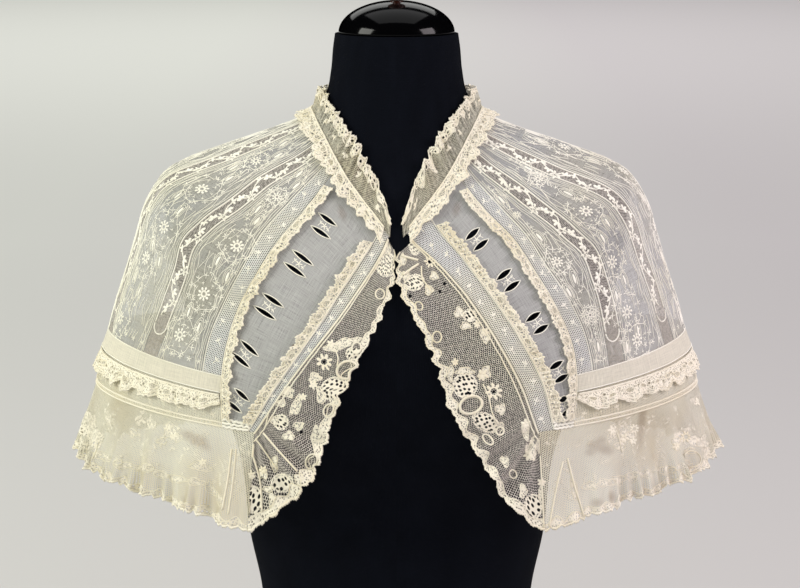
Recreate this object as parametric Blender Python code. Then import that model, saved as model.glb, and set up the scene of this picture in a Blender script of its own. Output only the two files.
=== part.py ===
"""A deep lace and lawn cape collar worn by a limbless dress form, in metres, +Z up, front towards -Y.

The origin is the middle of the dress form's flat underside. "left" and "right" are the viewer's, seen
from the front. A place on the collar is an angle round the body, 0 at the centre front and 180 at the
centre back, on one side or the other, and a share of the way down: 0 at the neck, 1 at the corded seam
where the hem flounce is sewn on.
"""

import math

import bpy
import numpy as np

# The cloth's wall, the gap that sewn pieces keep between them, and how far a trim lies off what it covers.
CLOTH = 0.0010
SEAM_GAP = 0.00046
TRIM_LIFT = 0.0018
FORM_GAP = 0.0011

LEFT = -1
RIGHT = 1
SIDES = {"left": LEFT, "right": RIGHT}
BACK = 180.0

# The collar's own rings, from the top of the neck frill to the hem.
RING_COLUMNS = ("share", "half_width", "front_depth", "back_depth", "side_z", "front_z", "back_z")
COLLAR_RINGS = (
    (-0.15, 0.0605, 0.0590, 0.0590, 0.7050, 0.6720, 0.7120),
    (0.00, 0.0620, 0.0615, 0.0600, 0.6760, 0.6400, 0.6830),
    (0.10, 0.0800, 0.0690, 0.0680, 0.6535, 0.6150, 0.6560),
    (0.20, 0.1100, 0.0815, 0.0850, 0.6410, 0.5905, 0.6280),
    (0.314, 0.1560, 0.1000, 0.1020, 0.6250, 0.5630, 0.5990),
    (0.42, 0.2040, 0.1160, 0.1150, 0.6045, 0.5370, 0.5720),
    (0.50, 0.2220, 0.1290, 0.1230, 0.5800, 0.5175, 0.5500),
    (0.60, 0.2330, 0.1420, 0.1300, 0.5460, 0.4930, 0.5260),
    (0.84, 0.2590, 0.1600, 0.1440, 0.4630, 0.4340, 0.4530),
    (1.00, 0.2710, 0.1660, 0.1520, 0.4130, 0.3950, 0.4050),
    (1.35, 0.2900, 0.1720, 0.1640, 0.3490, 0.3170, 0.3420),
    (1.45, 0.2945, 0.1735, 0.1665, 0.3315, 0.2950, 0.3250),
)

# The dress form below the shoulders, in the same columns. Above them it follows the collar's rings.
FORM_NECK = (
    (0.0, 0.0545, 0.0530, 0.0530, 0.7250, 0.7250, 0.7250),
    (0.1, 0.0562, 0.0548, 0.0548, 0.7130, 0.7100, 0.7140),
    (0.2, 0.0582, 0.0568, 0.0568, 0.6920, 0.6750, 0.6980),
)
FORM_SHOULDER_SHARES = (0.03, 0.07, 0.11, 0.16, 0.21, 0.27, 0.33, 0.37, 0.40, 0.425)
FORM_BODY = (
    (1.0, 0.2075, 0.1210, 0.1180, 0.5910, 0.5220, 0.5570),
    (1.3, 0.2055, 0.1310, 0.1200, 0.5600, 0.4930, 0.5250),
    (1.6, 0.1990, 0.1370, 0.1190, 0.5150, 0.4580, 0.4800),
    (1.9, 0.1850, 0.1340, 0.1120, 0.4620, 0.4180, 0.4320),
    (2.2, 0.1630, 0.1190, 0.1010, 0.4050, 0.3720, 0.3820),
    (2.5, 0.1425, 0.1060, 0.0905, 0.3450, 0.3240, 0.3300),
    (2.8, 0.1345, 0.0990, 0.0830, 0.2760, 0.2650, 0.2680),
    (3.1, 0.1228, 0.0925, 0.0800, 0.2050, 0.2030, 0.2040),
    (3.4, 0.1340, 0.0965, 0.0900, 0.1500, 0.1490, 0.1495),
    (3.7, 0.1580, 0.1065, 0.1080, 0.0900, 0.0900, 0.0900),
    (4.0, 0.1700, 0.1120, 0.1160, 0.0400, 0.0400, 0.0400),
    (4.3, 0.1690, 0.1110, 0.1150, 0.0000, 0.0000, 0.0000),
)
FORM_SIDES = 36

# The neck cap, a dome cut flat where the finial stands, and the finial's rings as (height, radius).
CAP_HALF_WIDTH = 0.0515
CAP_HALF_DEPTH = 0.0507
CAP_HEIGHT = 0.0290
CAP_FOOT_Z = 0.7253
CAP_RISES = (0.0, 0.22, 0.45, 0.66, 0.84, 0.95, 0.993)
REST_GAP = 0.0003
FINIAL_PROFILE = ((0.0, 0.0060), (0.0030, 0.0060), (0.0050, 0.0036), (0.0080, 0.0040), (0.0120, 0.0082),
                  (0.0160, 0.0100), (0.0200, 0.0088), (0.0235, 0.0050), (0.0250, 0.0018))
FINIAL_SIDES = 16

# The neck seam: how far down the collar it lies at each angle. It dips in a V to the closure.
NECK_SEAM = (("angle", "share"), (2, 0.330), (8, 0.272), (14, 0.232), (27, 0.172), (44, 0.120),
             (66, 0.088), (90, 0.080), (135, 0.076), (180, 0.074))

# The seams between the front pieces, as angles at each share down the collar.
FRONT_SEAM_COLUMNS = ("share", "flounce_seam", "lawn_inner", "lawn_outer", "strip_outer")
FRONT_SEAMS = {
    LEFT: (
        (0.12, 2.0, 5.0, 33.5, 39.0),
        (0.314, 2.0, 5.6, 30.3, 36.6),
        (0.42, 4.9, 8.8, 29.8, 34.9),
        (0.50, 8.0, 11.5, 31.2, 35.4),
        (0.62, 12.8, 15.6, 34.2, 38.2),
        (0.75, 18.0, 20.0, 35.2, 40.0),
        (0.84, 21.2, 23.0, 34.9, 39.8),
        (1.00, 26.3, 27.6, 33.0, 38.4),
    ),
    RIGHT: (
        (0.12, 2.0, 9.0, 31.0, 37.0),
        (0.314, 3.0, 13.0, 29.5, 34.6),
        (0.42, 9.6, 16.0, 29.9, 33.6),
        (0.50, 13.6, 18.6, 31.2, 34.6),
        (0.62, 18.3, 23.0, 34.6, 38.6),
        (0.75, 22.0, 26.6, 36.6, 40.6),
        (0.84, 24.0, 28.4, 36.2, 40.4),
        (1.00, 26.3, 29.6, 33.6, 38.4),
    ),
}

# The middles of the net insertions between the embroidered panels, as angles at each share.
INSERTION_COLUMNS = ("share", "first", "second", "third", "fourth")
INSERTIONS = {
    LEFT: (
        (0.08, 48.5, 73.0, 112.0, 147.0),
        (0.20, 48.8, 72.5, 112.0, 147.0),
        (0.30, 49.6, 72.2, 112.0, 147.0),
        (0.40, 47.7, 73.8, 112.0, 147.0),
        (0.46, 49.8, 77.5, 112.0, 147.0),
        (0.52, 52.5, 79.5, 112.0, 147.0),
        (0.62, 53.0, 80.0, 112.0, 147.0),
        (0.84, 55.5, 80.0, 112.0, 147.0),
    ),
    RIGHT: (
        (0.08, 43.4, 57.5, 104.0, 143.5),
        (0.20, 43.4, 59.3, 104.0, 143.5),
        (0.30, 43.4, 59.8, 104.0, 143.5),
        (0.40, 42.7, 62.0, 104.0, 143.5),
        (0.46, 44.2, 64.5, 104.0, 143.5),
        (0.52, 47.0, 65.5, 104.0, 143.5),
        (0.62, 48.4, 66.5, 104.0, 143.5),
        (0.84, 47.0, 67.5, 104.0, 143.5),
    ),
}
INSERTION_HALF_WIDTH = (("share", "metres"), (0.08, 0.0055), (0.30, 0.0076), (0.50, 0.0082),
                        (0.84, 0.0082))

# The body's rows: the panels end at the tuck, and the strips and the lawn band run on to the corded seam.
PANEL_END = 0.840
BODY_END = 1.0
PANEL_ROWS = 12
STRIP_FOOT_SHARES = (0.890, 0.945, 1.0)
LAWN_COLUMNS = 3
ROW_CROWDING = (("share", "rows"), (0.0, 1.2), (0.30, 1.4), (0.36, 2.4), (0.52, 2.4), (0.60, 1.0),
                (0.84, 0.8))
DEGREES_A_COLUMN = 7.5
SHARE_STEPS = 200
SEAM_ROUNDS = 6
SEAM_GUESS = 0.3

# The slots for ribbon in the lawn bands: the middle of each pair, each slot a lens cut across the band.
SLOT_COLUMNS = ("share", "angle", "length")
SLOTS = {
    LEFT: ((0.335, 21.9, 0.0180), (0.462, 22.8, 0.0190), (0.608, 27.7, 0.0180), (0.761, 30.6, 0.0165),
           (0.905, 30.6, 0.0140)),
    RIGHT: ((0.378, 21.5, 0.0185), (0.518, 25.0, 0.0185), (0.664, 29.9, 0.0175), (0.819, 32.4, 0.0160),
            (0.930, 32.4, 0.0090)),
}
SLOT_WIDTH = 0.0050
SLOT_PAIR_GAP = 0.0125
SLOT_DEPTH = 0.012
SLOT_STEPS = 3
SLOT_STEP = 0.02

# The front flounce: its sewn edge and its scalloped edge, at steps along it.
FRONT_FLOUNCE_COLUMNS = ("step", "seam_share", "edge_angle", "edge_share")
FRONT_FLOUNCE = {
    LEFT: (
        (0.00, 0.340, 0.55, 0.375),
        (0.15, 0.450, 1.40, 0.490),
        (0.30, 0.600, 4.90, 0.625),
        (0.45, 0.740, 8.90, 0.770),
        (0.60, 0.870, 12.0, 0.920),
        (0.72, 0.945, 13.7, 1.050),
        (0.82, 0.977, 15.6, 1.160),
        (0.91, 0.991, 19.4, 1.260),
        (1.00, 1.000, 25.6, 1.385),
    ),
    RIGHT: (
        (0.00, 0.345, 0.55, 0.385),
        (0.15, 0.450, 1.10, 0.490),
        (0.30, 0.600, 5.40, 0.625),
        (0.45, 0.740, 8.50, 0.760),
        (0.60, 0.870, 10.6, 0.905),
        (0.72, 0.945, 14.2, 1.030),
        (0.82, 0.977, 17.0, 1.140),
        (0.91, 0.991, 19.6, 1.255),
        (1.00, 1.000, 25.6, 1.385),
    ),
}
FRONT_FLOUNCE_STEPS = 44
FRONT_FLOUNCE_ROWS = 2
FRONT_SCALLOPS = 11
FRONT_SCALLOP_DEPTH = 0.0016
FRONT_RIPPLES = 5
FRONT_RIPPLE = 0.0016
CORNER_START = 0.62
CORNER_PLEATS = 4
CORNER_PLEAT_DEPTH = 0.0030
CORNER_EASE_IN = 0.10
CORNER_EASE_OUT = 0.06

# The hem flounce: its waves grow from the seam to the hem, in three lengths sewn end to end.
HEM_ROWS = 2
HEM_STEPS_A_WAVE = 4
HEM_WAVES_A_SIDE = 10
HEM_WAVES_BACK = 12
HEM_SHARE = 1.35
HEM_START = ((0.0, 26.3), (1.0, 25.6))
HEM_WAVE = 0.0042
HEM_SLOW_WAVE = 0.0035
HEM_SLOW_EVERY = 3.3
HEM_SLOW_START = 0.8
HEM_SCALLOP = 0.013
HEM_CORNER_DROP = 0.045
HEM_CORNER_FADE = 9.0
SIDE_START = 30.0
SIDE_END = 128.0

# The tuck above the hem, whose turned edge stands off the band below it.
TUCK_EDGE = 0.892
TUCK_LIFT = 0.0016

# The lower band with its gathered frill of narrow lace, and the two raised cords at its foot.
LOWER_BAND_SHARES = (0.886, 0.930, 0.962, 0.970, 0.978, 0.984, 0.992, 1.0)
CORD_RISE = 0.0012
CORD_ROWS = (3, 5)
FRILL_TOP = 0.899
FRILL_FOOT = 0.948
FRILL_INSET = 1.0
FRILL_RISE = 0.0042
FRILL_LOW = 0.0015
FRILL_STEP_DEGREES = 3.2

# The narrow lace beside the lawn bands.
LAWN_TRIM_WIDTH = 0.0085
LAWN_TRIM_STEPS = 36
LAWN_TRIM_RISE = 0.0026
LAWN_TRIM_PUCKERS = 11
LAWN_TRIM_PUCKER = 0.15
LAWN_TRIM_SEAM = 0.04
LAWN_TRIM_LOW = 0.0005
LAWN_TRIM_CLEAR = 0.020
LAWN_TRIM_END = 0.975

# The neck frill stands round the neck; the neck trim falls outwards from the same seam.
NECK_FRILL_EDGE = (("angle", "share"), (2, 0.280), (6.4, 0.205), (20, 0.100), (42, 0.035), (76, 0.016),
                   (90, 0.012), (135, 0.000), (180, -0.006))
NECK_FRILL_STEPS = 48
NECK_FRILL_WAVES = 12
NECK_FRILL_START = 2.0
NECK_FRILL_WAVE = 0.0016
NECK_FRILL_OUT = 0.0030
NECK_FRILL_TURN = 0.55
NECK_FRILL_SCALLOP = 0.006
NECK_SEAM_LAP = 0.004
NECK_EASE = 20.0
NECK_TRIM_SHARES = 0.050
NECK_TRIM_STEPS = 44
NECK_TRIM_WAVES = 12
NECK_TRIM_START = 4.0
NECK_TRIM_SCALLOP = 0.2
NECK_TRIM_LOW = 0.0008
NECK_TRIM_RISE = 0.0026

# Faces that meet at more than this many degrees keep a sharp edge between them.
SHARP_ANGLE = 50

# Each material's base colour and its roughness.
MATERIALS = {
    "ivory_net": ((0.80, 0.76, 0.66), 0.75),
    "embroidered_lawn": ((0.86, 0.83, 0.74), 0.70),
    "plain_lawn": ((0.78, 0.78, 0.76), 0.70),
    "lace": ((0.88, 0.83, 0.70), 0.75),
    "black_jersey": ((0.012, 0.013, 0.022), 0.85),
    "black_gloss": ((0.005, 0.005, 0.006), 0.12),
    "turned_wood": ((0.22, 0.08, 0.04), 0.45),
}


def smooth(table, column, at):
    """Reads one column of a table at a place in its first column, along a smooth curve through its rows."""
    rows = np.array(table, float)
    x, y = rows[:, 0], rows[:, column]
    slope = np.gradient(y, x)
    at = np.clip(at, x[0], x[-1])
    i = np.clip(np.searchsorted(x, at) - 1, 0, len(x) - 2)
    width = x[i + 1] - x[i]
    t = (at - x[i]) / width
    start = (1 + 2 * t) * (1 - t) ** 2 * y[i] + t * (1 - t) ** 2 * width * slope[i]
    end = t * t * (3 - 2 * t) * y[i + 1] + t * t * (t - 1) * width * slope[i + 1]
    return start + end


def along(table, column, at):
    """Reads one column of a table along straight lines between its rows."""
    rows = np.array(table, float)
    return np.interp(at, rows[:, 0], rows[:, column])


def ring_point(rings, share, angle, side):
    """The point at an angle on the ring at a share of the way down a stack of rings."""
    turn = np.radians(angle)
    front = np.cos(turn) > 0
    half_width, front_depth, back_depth, side_z, front_z, back_z = (
        smooth(rings, column, share) for column in range(1, len(RING_COLUMNS)))
    x = side * np.sin(turn) * half_width
    y = -np.cos(turn) * np.where(front, front_depth, back_depth)
    z = side_z * np.sin(turn) ** 2 + np.where(front, front_z, back_z) * np.cos(turn) ** 2
    return np.stack([x, y, z], axis=-1)


def unit(vectors):
    """The vectors at length one."""
    return vectors / np.linalg.norm(vectors, axis=-1, keepdims=True)


def collar_point(share, angle, side):
    """A point on the collar's middle surface, before any ruffle."""
    share, angle = np.broadcast_arrays(np.asarray(share, float), np.asarray(angle, float))
    return ring_point(COLLAR_RINGS, share, angle, side)


def collar_normal(share, angle, side):
    """The outward direction of the collar's surface there."""
    step_share, step_angle = 0.004, 0.5
    down = collar_point(share + step_share, angle, side) - collar_point(share - step_share, angle, side)
    around = collar_point(share, angle + step_angle, side) - collar_point(share, angle - step_angle, side)
    normal = side * np.cross(around, down)
    return -unit(normal)


def lifted(share, angle, side, lift):
    """A point that stands off the collar's surface by a distance along its normal."""
    normal = collar_normal(share, angle, side)
    return collar_point(share, angle, side) + normal * np.asarray(lift)[..., None]


def degree_width(share, angle, side):
    """How wide one degree round the body is there."""
    around = collar_point(share, angle + 0.5, side) - collar_point(share, angle - 0.5, side)
    return np.linalg.norm(around, axis=-1)


def seam_share(angle):
    """How far down the collar the neck seam lies at an angle."""
    return smooth(NECK_SEAM[1:], 1, angle)


def material(name):
    """The Principled material of that name."""
    found = bpy.data.materials.get(name)
    if found:
        return found
    colour, roughness = MATERIALS[name]
    made = bpy.data.materials.new(name)
    made.use_nodes = True
    shader = made.node_tree.nodes["Principled BSDF"]
    shader.inputs["Base Color"].default_value = (*colour, 1)
    shader.inputs["Roughness"].default_value = roughness
    shader.inputs["Metallic"].default_value = 0
    made.diffuse_color = (*colour, 1)
    return made


def add_object(name, points, faces, finish):
    """A named object of these points and faces, shaded smooth."""
    mesh = bpy.data.meshes.new(name)
    mesh.from_pydata([tuple(p) for p in points], [], faces)
    mesh.update()
    mesh.shade_smooth()
    mesh.set_sharp_from_angle(angle=math.radians(SHARP_ANGLE))
    made = bpy.data.objects.new(name, mesh)
    bpy.context.scene.collection.objects.link(made)
    mesh.materials.append(material(finish))
    return made


def trimmed(grid):
    """The grid with its outer edges drawn in by half a seam gap, so that sewn neighbours stay apart."""
    grid = grid.copy()
    for line, inner in ((0, 1), (-1, -2)):
        across = grid[:, inner] - grid[:, line]
        grid[:, line] += unit(across) * SEAM_GAP / 2
        down = grid[inner] - grid[line]
        grid[line] += unit(down) * SEAM_GAP / 2
    return grid


def wall(name, outer, inner, finish):
    """A closed cloth wall between two grids of points, rows down by columns along, joined at the rim."""
    rows, columns = outer.shape[:2]
    points = np.concatenate([outer.reshape(-1, 3), inner.reshape(-1, 3)])

    def at(layer, row, column):
        return layer * rows * columns + row * columns + column

    faces = []
    for row in range(rows - 1):
        for column in range(columns - 1):
            corners = ((row, column), (row, column + 1), (row + 1, column + 1), (row + 1, column))
            faces.append([at(0, *c) for c in corners])
            faces.append([at(1, *c) for c in reversed(corners)])
    rim = [(0, c) for c in range(columns)] + [(r, columns - 1) for r in range(1, rows)]
    rim += [(rows - 1, c) for c in range(columns - 2, -1, -1)] + [(r, 0) for r in range(rows - 2, 0, -1)]
    for start, end in zip(rim, rim[1:] + rim[:1]):
        faces.append([at(0, *end), at(0, *start), at(1, *start), at(1, *end)])
    made = add_object(name, points, faces, finish)
    if signed_volume(points, faces) < 0:
        made.data.flip_normals()
    return made


def signed_volume(points, faces):
    """The volume that faces enclose, negative where they point inwards."""
    total = 0.0
    for face in faces:
        first = points[face[0]]
        for second, third in zip(face[1:-1], face[2:]):
            total += np.dot(first, np.cross(points[second], points[third]))
    return total


def grid_normals(grid):
    """The unit normal at each point of a grid, from its neighbours."""
    along_rows = np.gradient(grid, axis=1)
    down_rows = np.gradient(grid, axis=0)
    normal = np.cross(along_rows, down_rows)
    return unit(normal)


def cloth(name, grid, finish, raised=None):
    """A wall of cloth about a grid of its middle points. raised adds relief to its outer points alone."""
    grid = trimmed(grid)
    normal = grid_normals(grid)
    centre = grid.mean(axis=(0, 1)) - np.array([0.0, 0.0, 0.5])
    if np.sum(normal * (grid - centre)) < 0:
        normal = -normal
    outer = grid + normal * CLOTH / 2
    if raised is not None:
        outer = outer + normal * raised[..., None]
    return wall(name, outer, grid - normal * CLOTH / 2, finish)


def row_shares(top):
    """The shares of a panel's rows from its top to the panels' foot, crowded where the shoulder turns."""
    fine = np.linspace(top, PANEL_END, SHARE_STEPS)
    crowd = along(ROW_CROWDING[1:], 1, fine)
    passed = np.concatenate([[0], np.cumsum((crowd[1:] + crowd[:-1]) / 2)])
    return np.interp(np.linspace(0, passed[-1], PANEL_ROWS + 1), passed, fine)


def panel_grid(side, low, high, columns, foot=()):
    """The grid of a body panel between two seams, from the neck seam down to the panels' foot.

    low and high give each seam's angle at a share. foot holds the shares of any rows below the panels'.
    """
    across = np.linspace(0, 1, columns + 1)
    top = np.full(columns + 1, SEAM_GUESS)
    for _ in range(SEAM_ROUNDS):
        top = seam_share(low(top) * (1 - across) + high(top) * across)
    share = np.stack([np.concatenate([row_shares(start), foot]) for start in top], axis=1)
    angle = low(share) * (1 - across) + high(share) * across
    return collar_point(share, angle, side)


def front_seam(side, column):
    """A function that gives one front seam's angle at a share."""
    at = FRONT_SEAM_COLUMNS.index(column)
    return lambda share: smooth(FRONT_SEAMS[side], at, share)


def straight(angle):
    """A function that gives the same angle at each share."""
    return lambda share: np.full(np.shape(share), float(angle))


def front_pieces(side, word):
    """The strips and the slotted lawn band between the front flounce and the first panel."""
    first, second, third, fourth = (front_seam(side, column) for column in FRONT_SEAM_COLUMNS[1:])
    cloth(f"{word}_front_strip", panel_grid(side, first, second, 1, STRIP_FOOT_SHARES), "ivory_net")
    lawn = panel_grid(side, second, third, LAWN_COLUMNS, STRIP_FOOT_SHARES)
    cut_slots(cloth(f"{word}_lawn_band", lawn, "plain_lawn"), side, word)
    cloth(f"{word}_side_strip", panel_grid(side, third, fourth, 1), "ivory_net")


def slot_places(side):
    """Each slot's middle, its direction across the band, the band's own, its normal and its length."""
    places = []
    for share, angle, length in SLOTS[side]:
        near = np.array([share - SLOT_STEP, share + SLOT_STEP])
        before, after = collar_point(near, smooth(SLOTS[side], SLOT_COLUMNS.index("angle"), near), side)
        down = unit(after - before)
        normal = collar_normal(share, angle, side)
        across = np.cross(normal, down)
        for half in (-0.5, 0.5):
            centre = collar_point(share, angle, side) + down * half * SLOT_PAIR_GAP
            places.append((centre, across, down, normal, length))
    return places


def cut_slots(band, side, word):
    """Cuts the ribbon slots through the lawn band with lens-shaped cutters."""
    points, faces = [], []
    steps = np.linspace(-1, 1, 2 * SLOT_STEPS + 1)
    upper = [(t / 2, (1 - t * t) / 2) for t in steps]
    lower = [(t / 2, -(1 - t * t) / 2) for t in steps[-2:0:-1]]
    outline = upper + lower
    for centre, across, down, normal, length in slot_places(side):
        base = len(points)
        for depth in (-SLOT_DEPTH / 2, SLOT_DEPTH / 2):
            for x, y in outline:
                points.append(centre + across * x * length + down * y * SLOT_WIDTH + normal * depth)
        count = len(outline)
        ring = [list(range(base, base + count)), list(range(base + count, base + 2 * count))]
        new = [ring[0][::-1], ring[1]]
        for i in range(count):
            j = (i + 1) % count
            new.append([ring[0][i], ring[0][j], ring[1][j], ring[1][i]])
        if signed_volume(np.array(points), new) < 0:
            new = [face[::-1] for face in new]
        faces += new
    cutter = add_object(f"{word}_slot_cutter", points, faces, "plain_lawn")
    cutter.hide_render = True
    cutter.display_type = "WIRE"
    cut = band.modifiers.new("slots", "BOOLEAN")
    cut.operation = "DIFFERENCE"
    cut.object = cutter


def insertion_seam(side, number, edge):
    """A function that gives the angle of an insertion's edge at a share: edge is -1 for front, 1 for back."""
    def at(share):
        if number < len(INSERTION_COLUMNS):
            middle = smooth(INSERTIONS[side], number, share)
        else:
            middle = np.full(np.shape(share), BACK)
        half = along(INSERTION_HALF_WIDTH[1:], 1, share)
        return middle + edge * half / degree_width(share, middle, side)
    return at


def body_panels(side, word):
    """The embroidered panels and net insertions from the side strip to the centre back."""
    foot = np.array(PANEL_END)
    low = front_seam(side, "strip_outer")
    for number in range(1, len(INSERTION_COLUMNS) + 1):
        high = insertion_seam(side, number, -1)
        columns = max(1, round(float(high(foot) - low(foot)) / DEGREES_A_COLUMN))
        cloth(f"{word}_panel_{number}", panel_grid(side, low, high, columns), "embroidered_lawn")
        if number < len(INSERTION_COLUMNS):
            low = insertion_seam(side, number, 1)
            cloth(f"{word}_insertion_{number}", panel_grid(side, high, low, 1), "ivory_net")


def back_insertion():
    """The net insertion down the centre back, which crosses from one side to the other."""
    halves = [panel_grid(side, insertion_seam(side, len(INSERTION_COLUMNS), -1), straight(BACK), 1)
              for side in (LEFT, RIGHT)]
    cloth("back_insertion", np.concatenate([halves[0], halves[1][:, -2::-1]], axis=1), "ivory_net")


def stretch_points(word, start, count):
    """The angles and sides of the points along one length of a lower band.

    start is the angle at which a side length begins, one for each row. The back length joins the two.
    """
    t = np.linspace(0, 1, count + 1)
    start = np.atleast_1d(start)[:, None]
    if word == "back":
        turn = SIDE_END + 2 * (BACK - SIDE_END) * t + 0 * start
        return np.where(turn <= BACK, turn, 2 * BACK - turn), np.where(turn <= BACK, LEFT, RIGHT)
    return start + (SIDE_END - start) * t, np.full((len(start), count + 1), SIDES[word])


def band_grid(word, shares, count, lift=None, inset=0.0):
    """The grid of one length of a lower band, from the lawn band's outer seam or from the side lengths."""
    shares = np.asarray(shares, float)
    start = front_seam(SIDES.get(word, LEFT), "lawn_outer")(shares) + inset
    angles, sides = stretch_points(word, start, count)
    lift = np.zeros(angles.shape) if lift is None else lift
    return side_point(shares[:, None], angles, sides, lift)


def side_point(share, angle, side, lift):
    """Points that stand off the collar's surface, each on its own side."""
    share, angle, side, lift = np.broadcast_arrays(share, angle, side, lift)
    left, right = (lifted(share, angle, word, lift) for word in (LEFT, RIGHT))
    return np.where((side == LEFT)[..., None], left, right)


def lower_bands(word):
    """The plain tuck, the net band with its two cords, and the gathered frill that covers its top."""
    span = SIDE_END - SIDE_START if word != "back" else 2 * (BACK - SIDE_END)
    columns = round(span / DEGREES_A_COLUMN)
    tuck_lift = np.repeat([[0.0], [TUCK_LIFT]], columns + 1, axis=1)
    cloth(f"{word}_tuck", band_grid(word, (PANEL_END, TUCK_EDGE), columns, tuck_lift), "plain_lawn")

    raised = np.zeros((len(LOWER_BAND_SHARES), columns + 1))
    raised[list(CORD_ROWS)] = CORD_RISE
    cloth(f"{word}_lower_band", band_grid(word, LOWER_BAND_SHARES, columns), "ivory_net", raised)

    count = 2 * round(span / FRILL_STEP_DEGREES / 2)
    puff = np.where(np.arange(count + 1) % 2, FRILL_RISE, FRILL_LOW)
    puff[[1, -2]] = FRILL_LOW
    lift = np.stack([np.full(count + 1, TRIM_LIFT), TRIM_LIFT + puff])
    frill = band_grid(word, (FRILL_TOP, FRILL_FOOT), count, lift, FRILL_INSET)
    cloth(f"{word}_lower_frill", frill, "lace")


def hem_flounce(word):
    """One length of the hem flounce. Its waves grow towards the scalloped hem."""
    waves = HEM_WAVES_BACK if word == "back" else HEM_WAVES_A_SIDE
    count = waves * HEM_STEPS_A_WAVE
    t = np.linspace(0, 1, count + 1)
    down = np.linspace(0, 1, HEM_ROWS + 1)[:, None]
    angles, sides = stretch_points(word, along(HEM_START, 1, down[:, 0]), count)
    phase = 2 * math.pi * waves * t
    scallop = HEM_SCALLOP * (0.5 + 0.5 * np.cos(phase))
    corner = 0.0 if word == "back" else HEM_CORNER_DROP * np.exp(-t * HEM_CORNER_FADE)
    share = BODY_END + (HEM_SHARE + corner - scallop - BODY_END) * down
    ease = np.clip(np.minimum(t, 1 - t) * waves, 0, 1)
    slow = np.sin(phase / HEM_SLOW_EVERY + HEM_SLOW_START)
    lift = ease * (HEM_WAVE * np.sin(phase) * down + HEM_SLOW_WAVE * slow * down ** 2)
    cloth(f"{word}_hem_flounce", side_point(share, angles, sides, lift), "lace")


def front_flounce(side, word):
    """The wide lace from the closure down the front edge and round the corner, with its pleated corner."""
    t = np.linspace(0, 1, FRONT_FLOUNCE_STEPS + 1)
    seam_at, edge_angle, edge_at = (
        smooth(FRONT_FLOUNCE[side], column, t) for column in range(1, len(FRONT_FLOUNCE_COLUMNS)))
    seam_angle = front_seam(side, "flounce_seam")(seam_at)
    scallop = np.abs(np.sin(math.pi * FRONT_SCALLOPS * t))
    corner = (t - CORNER_START) / (1 - CORNER_START)
    pleat = np.clip((t - CORNER_START) / CORNER_EASE_IN, 0, 1) * np.clip((1 - t) / CORNER_EASE_OUT, 0, 1)
    wave = FRONT_RIPPLE * np.sin(2 * math.pi * FRONT_RIPPLES * t)
    wave += CORNER_PLEAT_DEPTH * pleat * np.sin(2 * math.pi * CORNER_PLEATS * corner)
    rows = []
    for row in range(FRONT_FLOUNCE_ROWS + 1):
        down = row / FRONT_FLOUNCE_ROWS
        angle = seam_angle * (1 - down) + edge_angle * down
        share = seam_at * (1 - down) + edge_at * down
        line = lifted(share, angle, side, wave * math.sin(math.pi * down / 2))
        if row == FRONT_FLOUNCE_ROWS:
            line = line + unit(line - rows[-1]) * (FRONT_SCALLOP_DEPTH * scallop)[:, None]
        rows.append(line)
    cloth(f"{word}_front_flounce", np.array(rows), "lace")


def lawn_trim(side, word, seam, name, inwards):
    """Narrow puckered lace sewn beside the lawn band, its free edge standing over the band."""
    first = SEAM_GUESS
    for _ in range(SEAM_ROUNDS):
        first = float(seam_share(seam(np.asarray(first)))) + NECK_TRIM_SHARES + LAWN_TRIM_CLEAR
    share = np.linspace(first, LAWN_TRIM_END, LAWN_TRIM_STEPS + 1)
    base = seam(share)
    reach = inwards * LAWN_TRIM_WIDTH / degree_width(share, base, side)
    turns = 2 * math.pi * LAWN_TRIM_PUCKERS * np.linspace(0, 1, LAWN_TRIM_STEPS + 1)
    pucker = 0.5 + 0.5 * np.sin(turns)
    sewn = lifted(share, base + reach * LAWN_TRIM_SEAM, side, np.full(share.shape, TRIM_LIFT))
    edge = base + reach * (1 - LAWN_TRIM_PUCKER * (1 - pucker))
    free = lifted(share, edge, side, TRIM_LIFT + LAWN_TRIM_LOW + LAWN_TRIM_RISE * pucker)
    cloth(f"{word}_lawn_trim_{name}", np.array([sewn, free]), "lace")


def neck_frill(side, word):
    """The lace frill that stands round the neck, gathered into the neck seam."""
    t = np.linspace(0, 1, NECK_FRILL_STEPS + 1)
    angle = NECK_FRILL_START + (BACK - NECK_FRILL_START) * t
    foot = seam_share(angle) - NECK_SEAM_LAP
    top = smooth(NECK_FRILL_EDGE[1:], 1, angle)
    wave = np.sin(2 * math.pi * NECK_FRILL_WAVES * t) * np.clip(np.minimum(t, 1 - t) * NECK_EASE, 0, 1)
    rows = []
    for down in (0.0, 0.5, 1.0):
        share = foot * (1 - down) + (top - NECK_FRILL_SCALLOP * np.abs(wave)) * down
        lift = NECK_FRILL_OUT * math.sin(math.pi * NECK_FRILL_TURN * down) + NECK_FRILL_WAVE * wave * down
        rows.append(lifted(share, angle, side, lift))
    cloth(f"{word}_neck_frill", np.array(rows), "lace")


def neck_trim(side, word):
    """The narrow lace that falls outwards from the neck seam over the panels."""
    t = np.linspace(0, 1, NECK_TRIM_STEPS + 1)
    angle = NECK_TRIM_START + (BACK - NECK_TRIM_START) * t
    wave = 0.5 + 0.5 * np.sin(2 * math.pi * NECK_TRIM_WAVES * t) * np.clip((1 - t) * NECK_EASE, 0, 1)
    top = seam_share(angle) + NECK_SEAM_LAP
    foot = top + NECK_TRIM_SHARES * (1 - NECK_TRIM_SCALLOP * (1 - wave))
    sewn = lifted(top, angle, side, np.full(t.shape, TRIM_LIFT))
    free = lifted(foot, angle, side, TRIM_LIFT + NECK_TRIM_LOW + NECK_TRIM_RISE * wave)
    cloth(f"{word}_neck_trim", np.array([sewn, free]), "lace")


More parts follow.
